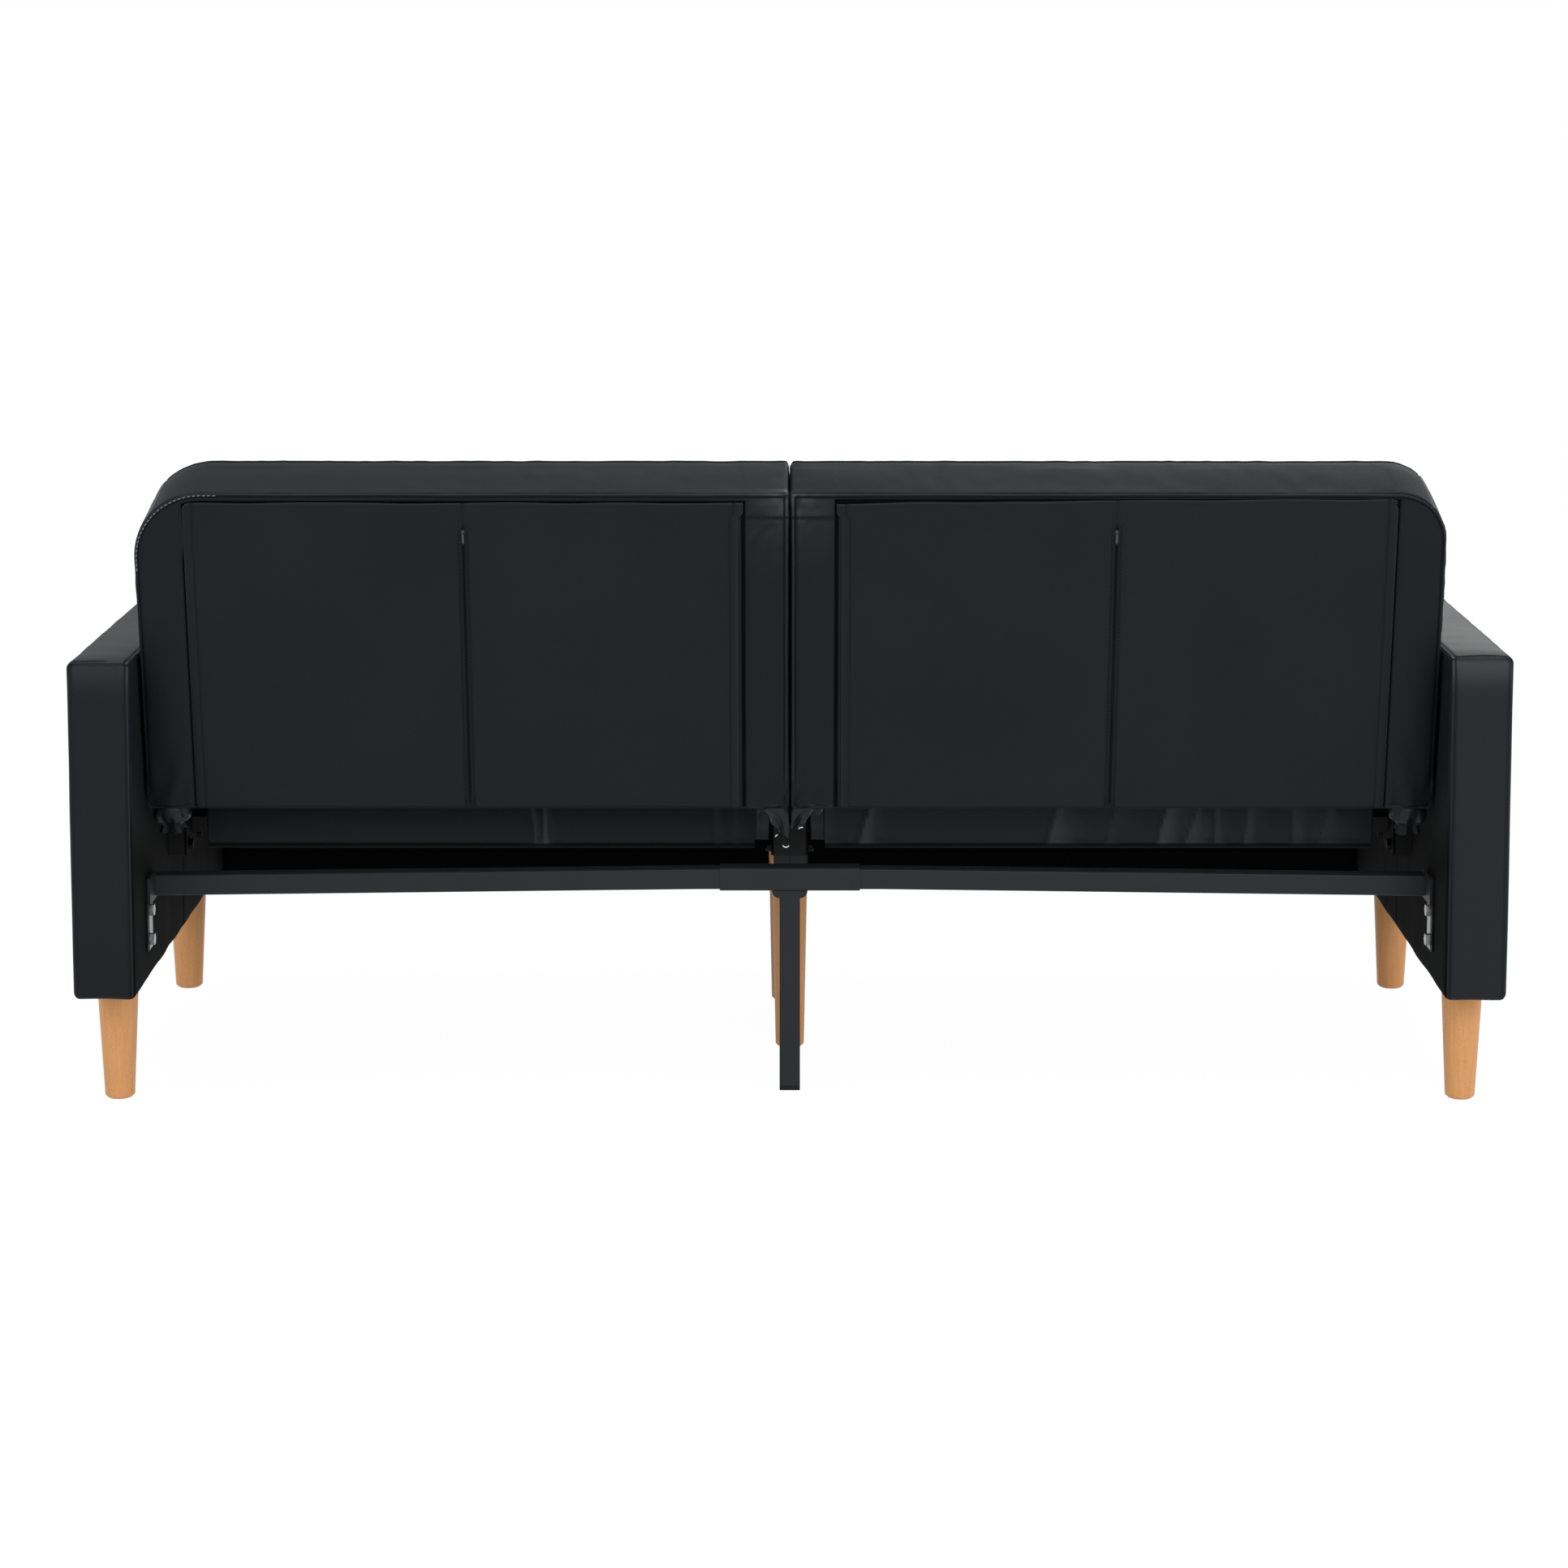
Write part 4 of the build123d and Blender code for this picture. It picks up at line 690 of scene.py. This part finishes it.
for side, seed in (("left", 41), ("right", 42)):
    points, flat, faces = soft_box(
        (BACK_IN, BACK_OUT, 9, BACK_IN + LIP_SEAM, BACK_OUT - LIP_SEAM, PANEL_IN, PANEL_OUT),
        (BACK_LOW, BACK_HIGH, 9, PANEL_HIGH, BACK_HIGH - LIP_SEAM, BORDER_SEAM),
        (BACK_REAR, BACK_FRONT, 8, BACK_FRONT - BACK_SEAM), edge=BACK_EDGE)
    x, u, n = flat.T
    along = share(x, BACK_IN, BACK_OUT)
    rise = share(u, BACK_LOW, BACK_HIGH)
    on_front = n >= BACK_FRONT
    on_rear = n <= BACK_REAR
    on_top = (u >= BACK_HIGH) & ~on_front & ~on_rear
    on_inner = (x <= BACK_IN) & ~on_front & ~on_rear
    front_line = np.abs(n - BACK_FRONT + BACK_SEAM)
    sewn = ~on_front & ~(on_top & (n > BACK_REAR + 8) & (n < BACK_FRONT - 12))
    sewn |= on_front & (np.minimum.reduce([x - BACK_IN, BACK_OUT - x, u - BACK_LOW, BACK_HIGH - u]) < 6)
    points = inflate(points, faces, sewn, BACK_SWELL)
    outward = point_normals(points, faces)
    on_rim = ~on_front & ~on_rear & (u > BACK_LOW + 30)
    front_seam = on_rim * ridge(front_line, 1.6)
    edge = np.minimum.reduce([BACK_HIGH - u, BACK_OUT - x, x - BACK_IN])
    edge = edge + waves(flat, (70, 70, 70), seed + 1) * 0.8
    up_here = ramp(u, 5, 50)
    rear_seam = on_rear * ridge(edge - LIP_SEAM, 1.2) * up_here
    lip = on_rear * ridge(edge - 1.4, 1.6) * up_here
    near_panel = (on_rear & (x > PANEL_IN - PANEL_GAP) & (x < PANEL_OUT + PANEL_GAP)
                  & (u < PANEL_HIGH + PANEL_GAP + (2.5 if side == "right" else 0.0)))
    panel_edge = np.minimum.reduce([x - PANEL_IN, PANEL_OUT - x, PANEL_HIGH - u])
    border_seam = (on_rear & (x < PANEL_IN - 2)) * ridge(u - BORDER_SEAM, 1.3)
    rim_slack = (on_rim & (n < -20)) * waves(flat, (120, 120, 70), seed) * 1.3
    pucker = on_rim * ridge(np.minimum(n - BACK_REAR, front_line), 13.0)
    pucker = pucker * waves(flat, (15, 15, 60), seed + 2) * 0.9
    front_slack = on_front * (waves(flat, (140, 110, 90), seed + 3) * 1.4
                              + waves(flat, (50, 60, 60), seed + 4) * 0.5)
    rear_slack = on_rear * waves(flat, (90, 130, 90), seed + 5) * 0.8
    corner_folds = np.zeros(len(flat))
    for centre, way in ((POUCH_IN, 0.4), (POUCH_OUT, 2.1)):
        reach = np.hypot(x - centre, u - BACK_LOW)
        turn = np.arctan2(u - BACK_LOW, x - centre)
        fold = np.cos(turn * 9 + way + waves(flat, (40, 40, 40), seed + 6) * 2.0)
        corner_folds += fold * np.exp(-reach / 36.0) * np.clip(reach / 12.0, 0, 1) * 6.0
    slope = (x - DRAWN_X + u - DRAWN_UP) * 0.707
    along_fold = (x - DRAWN_X - u + DRAWN_UP) * 0.707
    corner_folds += 4.0 * ridge(slope, 5.0) * ridge(along_fold - 18, 22)
    corner_folds = (on_rear & ~near_panel) * (corner_folds - 1.0) * (1 - ramp(u, 60, 90))
    move = (rim_slack + pucker + front_slack + rear_slack + corner_folds - 1.2 * front_seam
            - 1.2 * rear_seam + 0.9 * lip - 0.7 * border_seam - PANEL_RECESS * near_panel)
    points = points + outward * (move * ~on_inner)[:, None]
    cut = np.maximum(ramp(-x, -HINGE_CUT_WIDE - 1, -HINGE_CUT_WIDE + 5),
                     ramp(x, BACK_OUT - HINGE_CUT_WIDE - 5, BACK_OUT - HINGE_CUT_WIDE + 1))
    cut = cut * ramp(-u, -HINGE_CUT_HIGH - 6, -HINGE_CUT_HIGH + 2)
    squeezed = (points[:, 2] - BACK_REAR) * (HINGE_CUT_BACK - BACK_REAR) / (BACK_FRONT - BACK_REAR)
    squeezed = BACK_REAR + squeezed
    points[:, 2] = np.where(on_rear, points[:, 2], points[:, 2] * (1 - cut) + squeezed * cut)
    points[:, 1] -= REAR_DROP * ramp(-u, -30, -BACK_LOW) * ramp(-n, 55, 90)
    points = round_corner(points, BACK_OUT, BACK_HIGH, SHOULDERS[side])
    points[:, 1] += TOP_LIFT * ramp(n, BACK_REAR + 5, BACK_FRONT - 10) * ramp(u, 300, BACK_HIGH)
    swing = np.hypot(points[:, 1], points[:, 2])
    meeting = MEET_GAP + MEET_WAVE * np.sin(swing / MEET_LENGTH) * SIDES[side]
    touching = (ramp(u, BACK_LOW - 1, BACK_LOW + 4) * ramp(-u, 2 - BACK_HIGH, 8 - BACK_HIGH)
                * ramp(n, BACK_REAR + 1, BACK_REAR + 9) * on_inner)
    points[:, 0] += touching * (meeting - points[:, 0])
    points[:, 0] = np.maximum(points[:, 0], meeting)
    # painted shade in the seams and on the top
    shade = front_seam * 0.6 + rear_seam * 0.8 + border_seam * 0.6 + on_top * BACK_TOP_SHADE[side]
    # painted shade in the gap round the panel, and painted highlight on the rolled lip
    shade = shade + (near_panel & (panel_edge < 2)) - 0.16 * lip
    # painted shade towards the outer edge, beside the arm
    shade = shade + on_rear * 0.55 * ramp(x, PANEL_OUT + 18, BACK_OUT - 4) * ramp(-u, -240, -130)
    # a paler, speckled patch at the inner top corner
    pale_corner = np.exp(-np.hypot(x - BACK_IN, u - BACK_HIGH) / 26.0) * (n < BACK_REAR + 14)
    shade = shade - np.clip(pale_corner * (0.45 + 0.6 * waves(flat, (9, 9, 9), seed + 9)), 0, 0.6) * (shade < 0.3)
    cover = piece(f"{side}_back_vinyl", lean_back(points), faces, pad_vinyl, shade, side == "right")
    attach(cover, f"{side}_back")
    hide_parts(f"{side}_back_cushion")

# Rear panels: one sheet of vinyl on each back, hemmed at both sides and at the top, sewn on round
# its edges and split down the middle by a zip, whose two lips are turned under and topstitched.
PANEL_LOW = -10.0
PANEL_FACE = -104.6
PANEL_THICK = 1.3
PANEL_EDGE, PANEL_ROUND = 2.0, 9.0
HEM, TOP_HEM = 11.0, 4.0
STEP_LOW, STEP_WIDE = 361.0, 6.0             # below it the inner edge is set in towards the zip
TOP_TILT = {"left": 0.0, "right": 5.0}       # the right panel's top rises to its outer end
ZIP_LINE, ZIP_TOP, ZIP_STITCH = 384.0, 347.0, 5.2
for side, seed in (("left", 51), ("right", 52)):
    xs = grid_lines(PANEL_IN, PANEL_OUT, 6, PANEL_EDGE, (ZIP_LINE, ZIP_LINE - ZIP_STITCH,
                                                         ZIP_LINE + ZIP_STITCH, PANEL_IN + HEM,
                                                         PANEL_OUT - HEM))
    us = grid_lines(PANEL_LOW, PANEL_HIGH, 6, PANEL_EDGE, (STEP_LOW, PANEL_HIGH - TOP_HEM))
    across, up = np.meshgrid(xs, us, indexing="ij")
    flat = np.stack([across.ravel(), up.ravel(), np.zeros(across.size)], axis=1)
    x, u = flat[:, 0], flat[:, 1]
    from_zip = np.abs(x - ZIP_LINE)
    below_zip = 1 / (1 + np.exp((u - ZIP_TOP) / 1.5))
    side_edge = np.minimum(x - PANEL_IN, PANEL_OUT - x)
    top_edge = PANEL_HIGH - u
    hem = 0.8 / (1 + np.exp((side_edge - HEM) / 0.7)) + 0.5 / (1 + np.exp((top_edge - TOP_HEM) / 0.7))
    curl = np.clip(1 - np.minimum(side_edge, top_edge) / 2.0, 0, 1) ** 2
    hem_line = ridge(side_edge - HEM, 1.4)
    lips = 0.7 * ridge(from_zip - 3.2, 1.8) * below_zip
    slot = ridge(from_zip, 1.7) * (0.2 + 0.8 * below_zip)
    zip_stitch = ridge(from_zip - ZIP_STITCH, 1.1) * below_zip
    slack = (waves(flat, (150, 110, 90), seed) * 1.1 + waves(flat, (40, 70, 60), seed + 3) * 0.25
             + ridge(from_zip, 40.0) * waves(flat, (900, 38, 90), seed + 5) * 0.5)
    lift = hem + lips - 1.2 * curl - 2.4 * slot - 0.5 * hem_line - 0.8 * zip_stitch + slack * 0.5
    wave = ramp(u, PANEL_HIGH - 60, PANEL_HIGH) * waves(flat * np.array([1, 0, 1]), (85, 90, 90), seed + 7)
    step = STEP_WIDE / (1 + np.exp((u - STEP_LOW) / 1.2)) * np.clip(1 - (x - PANEL_IN) / 60, 0, 1)
    under = np.clip(PANEL_LOW + 6 - u, 0, 6)
    tilt = TOP_TILT[side] * ramp(u, 250, PANEL_HIGH) * (x - PANEL_IN) / (PANEL_OUT - PANEL_IN)
    outer = np.stack([x + step, u + tilt + wave * 2.0, PANEL_FACE - lift + under ** 2 / 9.0], axis=1)
    outer = round_corner(outer, PANEL_OUT, PANEL_HIGH, PANEL_ROUND)
    inner = outer + np.array([0.0, 0.0, PANEL_THICK])
    wide, tall = across.shape
    order = np.arange(across.size).reshape(wide, tall)
    quads = np.stack([order[:-1, :-1], order[1:, :-1], order[1:, 1:], order[:-1, 1:]],
                     axis=-1).reshape(-1, 4)
    ring = np.concatenate([order[:, 0], order[-1, 1:], order[-2::-1, -1], order[0, -2:0:-1]])
    shift = across.size
    rim = np.stack([ring, ring + shift, np.roll(ring, -1) + shift, np.roll(ring, -1)], axis=1)
    faces = np.concatenate([quads[:, ::-1], quads + shift, rim[:, ::-1]])
    # painted shade in the zip's slot, along the hem and in the stitch lines, and painted highlight on the
    # curled edges
    shade = np.clip(1.2 * slot + 0.45 * hem_line + 0.8 * zip_stitch, 0, 1) * 0.9 - 0.22 * curl
    sheet = piece(f"{side}_rear_panel", lean_back(np.concatenate([outer, inner])), faces,
                  cover_vinyl, np.concatenate([shade, shade]), side == "right")
    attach(sheet, f"{side}_back")
    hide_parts(f"{side}_back_panel")

# Zips: woven tape with moulded teeth behind the slot of each panel, and a nickel slider with its pull.
# Webbing: woven straps across the back frame, under the foam.
WAVE_SCALE = 0.314       # a wave texture's scale for ribs one metre apart


def woven(name, dark, pale, pitch):
    """Narrow woven tape: ribs along and across it."""
    material, tree = new_material(name)
    place = add(tree, "TexCoord").outputs["Object"]
    weft, warp = [add(tree, "TexWave", {"Vector": place, "Scale": WAVE_SCALE / pitch, "Distortion": 0.6},
                      bands_direction=axis) for axis in "ZX"]
    weave = add(tree, "Math", {0: weft.outputs["Fac"], 1: warp.outputs["Fac"]}, operation="MULTIPLY")
    tint = add(tree, "Mix", {0: weave, 6: dark, 7: pale}, data_type="RGBA")
    raised = add(tree, "Bump", {"Height": weave, "Strength": 0.5, "Distance": 0.0004})
    cloth = add(tree, "BsdfPrincipled", {"Base Color": tint, "Roughness": 0.85, "Normal": raised,
                                         "Specular IOR Level": 0.2})
    add(tree, "OutputMaterial", {"Surface": cloth})
    return material


dress(both("zip_tape"), woven("woven_polyester_zip_tape", "#08090A", "#141516", 0.0012))
dress(both("back_webbing"), woven("woven_jute_webbing", "#1A1714", "#2C2620", 0.003))
# a small, sharp glint at the top of the zip
nickel = finish("bright_nickel_plated_zinc", "#4C4C4E", None, (0.18, 0.36), grain=0.0015, detail=4.0,
                metal=1.0)
dress(both("zip_slider"), nickel)

# Corner pouches: at the two lower corners of each back the spare vinyl of the cover is drawn
# together, stapled and cut off, so that it hangs below the edge in pleats with a raw edge.
POUCH_TOP, POUCH_DROP = -5.0, 51.0
POUCH_MIDDLE, POUCH_WIDE, POUCH_DEEP = -83.5, 21.0, 19.5
POUCH_REACH = {"left": 0.82, "right": 0.62}
POUCH_LIMIT = -59.5                  # lower down it would meet the tube caps with the back laid flat
POUCH_CLEAR, LINING_CLEAR = 1.0, 1.2         # keep each pouch off the other back's
VINYL_THICK = 1.1
# shares of the drop, and the width or the pleats' depth at each
INNER_WAIST = ((0, 0.25, 0.5, 0.75, 1.0), (1.02, 1.0, 0.92, 0.8, 0.72))
OUTER_WAIST = ((0, 0.2, 0.45, 0.6, 0.7, 0.8, 1.0), (0.88, 1.0, 1.04, 0.92, 0.66, 0.55, 0.66))
PLEAT_DEPTH = ((0, 0.35, 0.6, 1.0), (0.02, 0.04, 0.16, 0.27))
TURNS, DROPS = 96, 30
# grey fibres that draw the ragged line of the cut
cut_edge = finish("raw_edge_of_vinyl_backing", "#5C5E5F", "#A9ABAB", 0.9, grain=0.002, detail=3.0)


def tube(order):
    """Faces between rings of points; each row of the order is one ring."""
    after = np.roll(order, -1, axis=1)
    return np.stack([order[:-1], after[:-1], after[1:], order[1:]], axis=-1).reshape(-1, 4)


for side, seed in (("left", 61), ("right", 62)):
    points, skin, hems, shades = [], [], [], []
    for centre, own in ((POUCH_IN, 0), (POUCH_OUT, 5)):
        fall, turn = np.meshgrid(np.linspace(0, 1, DROPS),
                                 np.linspace(0, 2 * math.pi, TURNS, endpoint=False), indexing="ij")
        ring = np.stack([np.cos(turn).ravel() * 2, np.sin(turn).ravel() * 2, fall.ravel()], axis=1)
        wander = waves(ring, (0.9, 0.9, 0.7), seed + own).reshape(fall.shape)
        jag = waves(ring * np.array([3, 3, 0]), (1, 1, 1), seed + own + 2).reshape(fall.shape)
        pleat = np.cos(turn * (6 if centre == POUCH_IN else 4) + 2.8 * wander + 2.2 * fall)
        inward = 0.5 - 0.5 * np.cos(turn)
        if centre == POUCH_IN:
            waist = np.interp(fall, *INNER_WAIST)
            length = POUCH_DROP * (0.3 + POUCH_REACH[side] * inward ** 1.3 + 0.14 * jag)
            drift = -16.0 * fall * inward
            rearward = 9.0 * fall * inward * (side == "left")
        else:
            waist = np.interp(fall, *OUTER_WAIST)
            length = POUCH_DROP * (0.8 + 0.05 * jag)
            drift = rearward = 0.0
        spread = waist * (1 + pleat * np.interp(fall, *PLEAT_DEPTH) + 0.14 * wander * fall)
        x = np.maximum(centre + drift + POUCH_WIDE * spread * np.cos(turn), POUCH_CLEAR)
        u = np.maximum(POUCH_TOP - fall * length, POUCH_LIMIT)
        n = POUCH_MIDDLE - rearward + POUCH_DEEP * spread * np.sin(turn)
        outer = np.stack([x.ravel(), u.ravel(), n.ravel()], axis=1)
        order = np.arange(TURNS * DROPS).reshape(DROPS, TURNS)
        quads = tube(order)
        inner = outer - point_normals(outer, quads) * VINYL_THICK
        inner[:, 0] = np.maximum(inner[:, 0], LINING_CLEAR)
        shift = len(outer)
        high, low = order[0], order[-1]
        top = np.stack([high, high + shift, np.roll(high, -1) + shift, np.roll(high, -1)], axis=1)
        base = shift * len(points)
        points.extend([outer, inner])
        skin.extend([quads + base, quads[:, ::-1] + shift + base, top + base])
        hems.append(tube(np.stack([low, low + shift])) + base)
        # painted shade in the pleats' folds, and in the hollow under the outer pouch's lobe
        painted_shade = np.clip(-pleat, 0, 1).ravel() * fall.ravel() * 0.6
        if centre == POUCH_OUT:
            painted_shade = painted_shade + 0.5 * ramp(fall.ravel(), 0.6, 0.72)
        # painted shade on the pouches' inner faces
        shades.extend([painted_shade, np.full(shift, 0.8)])
    points, skin, hems = [np.concatenate(part) for part in (points, skin, hems)]
    pouch = piece(f"{side}_corner_pouches", lean_back(points), np.concatenate([skin, hems]),
                  seat_vinyl, np.concatenate(shades), side == "right")
    pouch.data.materials.append(cut_edge)
    middle = points[hems].mean(axis=1)[:, 0]
    for face, x in zip(pouch.data.polygons[len(skin):], middle):
        face.material_index = int(8 < x < 100)
    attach(pouch, f"{side}_back")
    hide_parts(f"{side}_corner_gathers")

# Hog rings: short bent pieces of galvanised wire, clinched through the drawn-up vinyl at the inner
# corners, where their ends stick out of the pleats.
WIRE, RING = 1.7, 3.7
BENDS, FACETS = 15, 8
# pale, bright bends of wire that stand out from the dark pleats
ring_zinc = finish("galvanised_wire", "#B9BBBC", "#E4E5E5", (0.3, 0.45), **ZINC)
# each ring: its middle in the back's plane, first and last angle, and tilt
for side, rings in (("left", ((4.6, -56.0, -105.5, 200, 345, 0.2), (14.0, -49.0, -100.5, 20, 80, 0.0))),
                    ("right", ((14.5, -37.0, -102.0, 70, 175, 0.6),))):
    points = []
    faces = []
    for x, up, out, start, end, tilt in rings:
        order = len(points) + np.arange(BENDS * FACETS).reshape(BENDS, FACETS)
        upright = np.array([0, math.sin(tilt), math.cos(tilt)])
        for bend in np.radians(np.linspace(start, end, BENDS)):
            reach = np.array([math.cos(bend), math.sin(bend) * math.cos(tilt),
                              -math.sin(bend) * math.sin(tilt)])
            for turn in np.linspace(0, 2 * math.pi, FACETS, endpoint=False):
                round_wire = reach * math.cos(turn) + upright * math.sin(turn)
                points.append(np.array([x, up, out]) + reach * RING + round_wire * WIRE / 2)
        faces.extend([*tube(order), order[0, ::-1], order[-1]])
    wire = piece(f"{side}_hog_rings", lean_back(np.array(points)), faces, ring_zinc, None, side == "right")
    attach(wire, f"{side}_back")

# Sewing: polyester thread in lockstitch along the panel's hems and the zip, and a coarse
# overcast stitch that shows round the shoulder of each back.
HEM_BEHIND, SHOULDER_BEHIND = -120.0, -125.0     # planes behind a back from which its cover is found
SHOULDER_IN, SHOULDER_TAIL = 2.8, 80.0
# matt twisted thread; paler round the left shoulder
THREAD = {"gloss": 0.7, "sheen": 0.2, "grain": 0.0008}
black_thread = finish("black_polyester_thread", "#141517", "#26282A", **THREAD)
pale_thread = finish("pale_polyester_thread", "#55585B", "#8B8E91", **THREAD)

sewing = bpy.data.node_groups.new("stitches_along_a_line", "GeometryNodeTree")
dials = {}
for label, way, kind in (("Line", "INPUT", "Geometry"), ("Pitch", "INPUT", "Float"),
                         ("Length", "INPUT", "Float"), ("Thickness", "INPUT", "Float"),
                         ("Slant", "INPUT", "Float"), ("Thread", "INPUT", "Material"),
                         ("Stitches", "OUTPUT", "Geometry")):
    socket = sewing.interface.new_socket(label, in_out=way, socket_type=f"NodeSocket{kind}")
    dials[label] = socket.identifier
given = add(sewing, "NodeGroupInput")
line = add(sewing, "GeometryNodeMeshToCurve", {"Mesh": given.outputs["Line"]})
spots = add(sewing, "GeometryNodeCurveToPoints", {"Curve": line, "Length": given.outputs["Pitch"]},
            mode="LENGTH")
half = add(sewing, "Math", {0: given.outputs["Thickness"], 1: 0.5}, operation="MULTIPLY")
stitch = add(sewing, "GeometryNodeMeshCylinder", {"Vertices": 6, "Radius": half,
                                                  "Depth": given.outputs["Length"]})
laid = add(sewing, "GeometryNodeInstanceOnPoints", {"Points": spots, "Instance": stitch,
                                                    "Rotation": spots.outputs["Rotation"]})
slant = add(sewing, "CombineXYZ", {"X": given.outputs["Slant"]})
turned = add(sewing, "GeometryNodeRotateInstances", {"Instances": laid, "Rotation": slant})
solid = add(sewing, "GeometryNodeRealizeInstances", {"Geometry": turned})
coloured = add(sewing, "GeometryNodeSetMaterial", {"Geometry": solid, "Material": given.outputs["Thread"]})
add(sewing, "NodeGroupOutput", {"Stitches": coloured})


def sew(name, rows, thread, pitch, length, thickness, slant):
    """Stitches along rows of points, as one mesh object."""
    points = [tuple(point) for row in rows for point in row]
    links = []
    start = 0
    for row in rows:
        links.extend((start + k, start + k + 1) for k in range(len(row) - 1))
        start += len(row)
    mesh = bpy.data.meshes.new(f"{name}_line")
    mesh.from_pydata(points, links, [])
    run = bpy.data.objects.new(f"{name}_line", mesh)
    scene.collection.objects.link(run)
    needle = run.modifiers.new("needle", "NODES")
    needle.node_group = sewing
    for label, value in (("Pitch", pitch), ("Length", length), ("Thickness", thickness), ("Slant", slant),
                         ("Thread", thread)):
        needle[dials[label]] = value
    graph = bpy.context.evaluated_depsgraph_get()
    made = bpy.data.objects.new(name, bpy.data.meshes.new_from_object(run.evaluated_get(graph)))
    bpy.data.objects.remove(run)
    bpy.data.meshes.remove(mesh)
    made.data.name = name
    scene.collection.objects.link(made)
    return made


def settle(skins, places, way):
    """Points where lines through places in mm first meet a cover, in metres."""
    found = []
    for point in places * MM:
        hits = [skin.ray_cast(Vector(point) - way * 0.06, way) for skin in skins]
        hits = [hit for hit in hits if hit[0] is not None]
        if hits:
            found.append(min(hits, key=lambda hit: hit[3])[0])
    return found


into_back = Vector(lean_back(np.array([[0.0, 0.0, 1.0]]))[0] - lean_back(np.zeros((1, 3)))[0])
for side, flip in SIDES.items():
    skins = []
    for cover in (f"{side}_back_vinyl", f"{side}_rear_panel", f"{side}_arm_vinyl"):
        mesh = bpy.data.objects[cover].data
        corners = [Vector((v.co.x * flip, v.co.y, v.co.z)) for v in mesh.vertices]
        skins.append(BVHTree.FromPolygons(corners, [tuple(p.vertices) for p in mesh.polygons]))
    hem_rows = []
    for across in (PANEL_IN + HEM + 3, PANEL_OUT - HEM - 2, ZIP_LINE - ZIP_STITCH, ZIP_LINE + ZIP_STITCH):
        high = ZIP_TOP if abs(across - ZIP_LINE) < 20 else PANEL_HIGH - 14
        line = np.array([(across, up, HEM_BEHIND) for up in np.arange(8.0, high, 6.0)])
        hem_rows.append(settle(skins[:2], lean_back(line), into_back))
    line = np.array([(across, BORDER_SEAM, HEM_BEHIND) for across in np.arange(6.0, 52.0, 4.0)])
    hem_rows.append(settle(skins[:2], lean_back(line), into_back))
    shoulder_thread = pale_thread if side == "left" else black_thread
    radius = SHOULDERS[side]
    turn = np.linspace(-0.15, math.pi / 2 + 0.2, 90)
    bend = np.clip(turn, 0, math.pi / 2)
    past, before = np.maximum(turn - math.pi / 2, 0), np.minimum(turn, 0)
    line = np.stack([BACK_OUT - radius + np.cos(bend) * (radius - SHOULDER_IN) - past * SHOULDER_TAIL,
                     BACK_HIGH - radius + np.sin(bend) * (radius - SHOULDER_IN) + before * SHOULDER_TAIL,
                     np.full(len(turn), SHOULDER_BEHIND)], axis=1)
    shoulder_row = settle(skins[:1], lean_back(line), into_back)
    ends = (ARM_IN + 28, ARM_OUT - 7) if side == "left" else (ARM_IN + 6, ARM_OUT - 7)
    line = np.array([(across, ARM_REAR - ARM_SEAM, ARM_TOP) for across in np.arange(*ends, 3.0)])
    arm_row = settle(skins[2:], line, Vector((0.0, 0.0, -1.0)))
    for kind, body, rows, sizes in (
            ("hem", f"{side}_back", hem_rows, (black_thread, 0.0052, 0.0034, 0.0007, 0.0)),
            ("shoulder", f"{side}_back", [shoulder_row], (shoulder_thread, 0.0058, 0.0048, 0.0015, 0.45)),
            ("arm", "base", [arm_row], (black_thread, 0.0056, 0.0036, 0.0014, 0.0))):
        rows = [[(point.x * flip, point.y, point.z) for point in row] for row in rows]
        seam = sew(f"{side}_{kind}_stitches", rows, *sizes)
        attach(seam, body)

size = {"cad": cad_box, "visual": [list(corner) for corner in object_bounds()]}
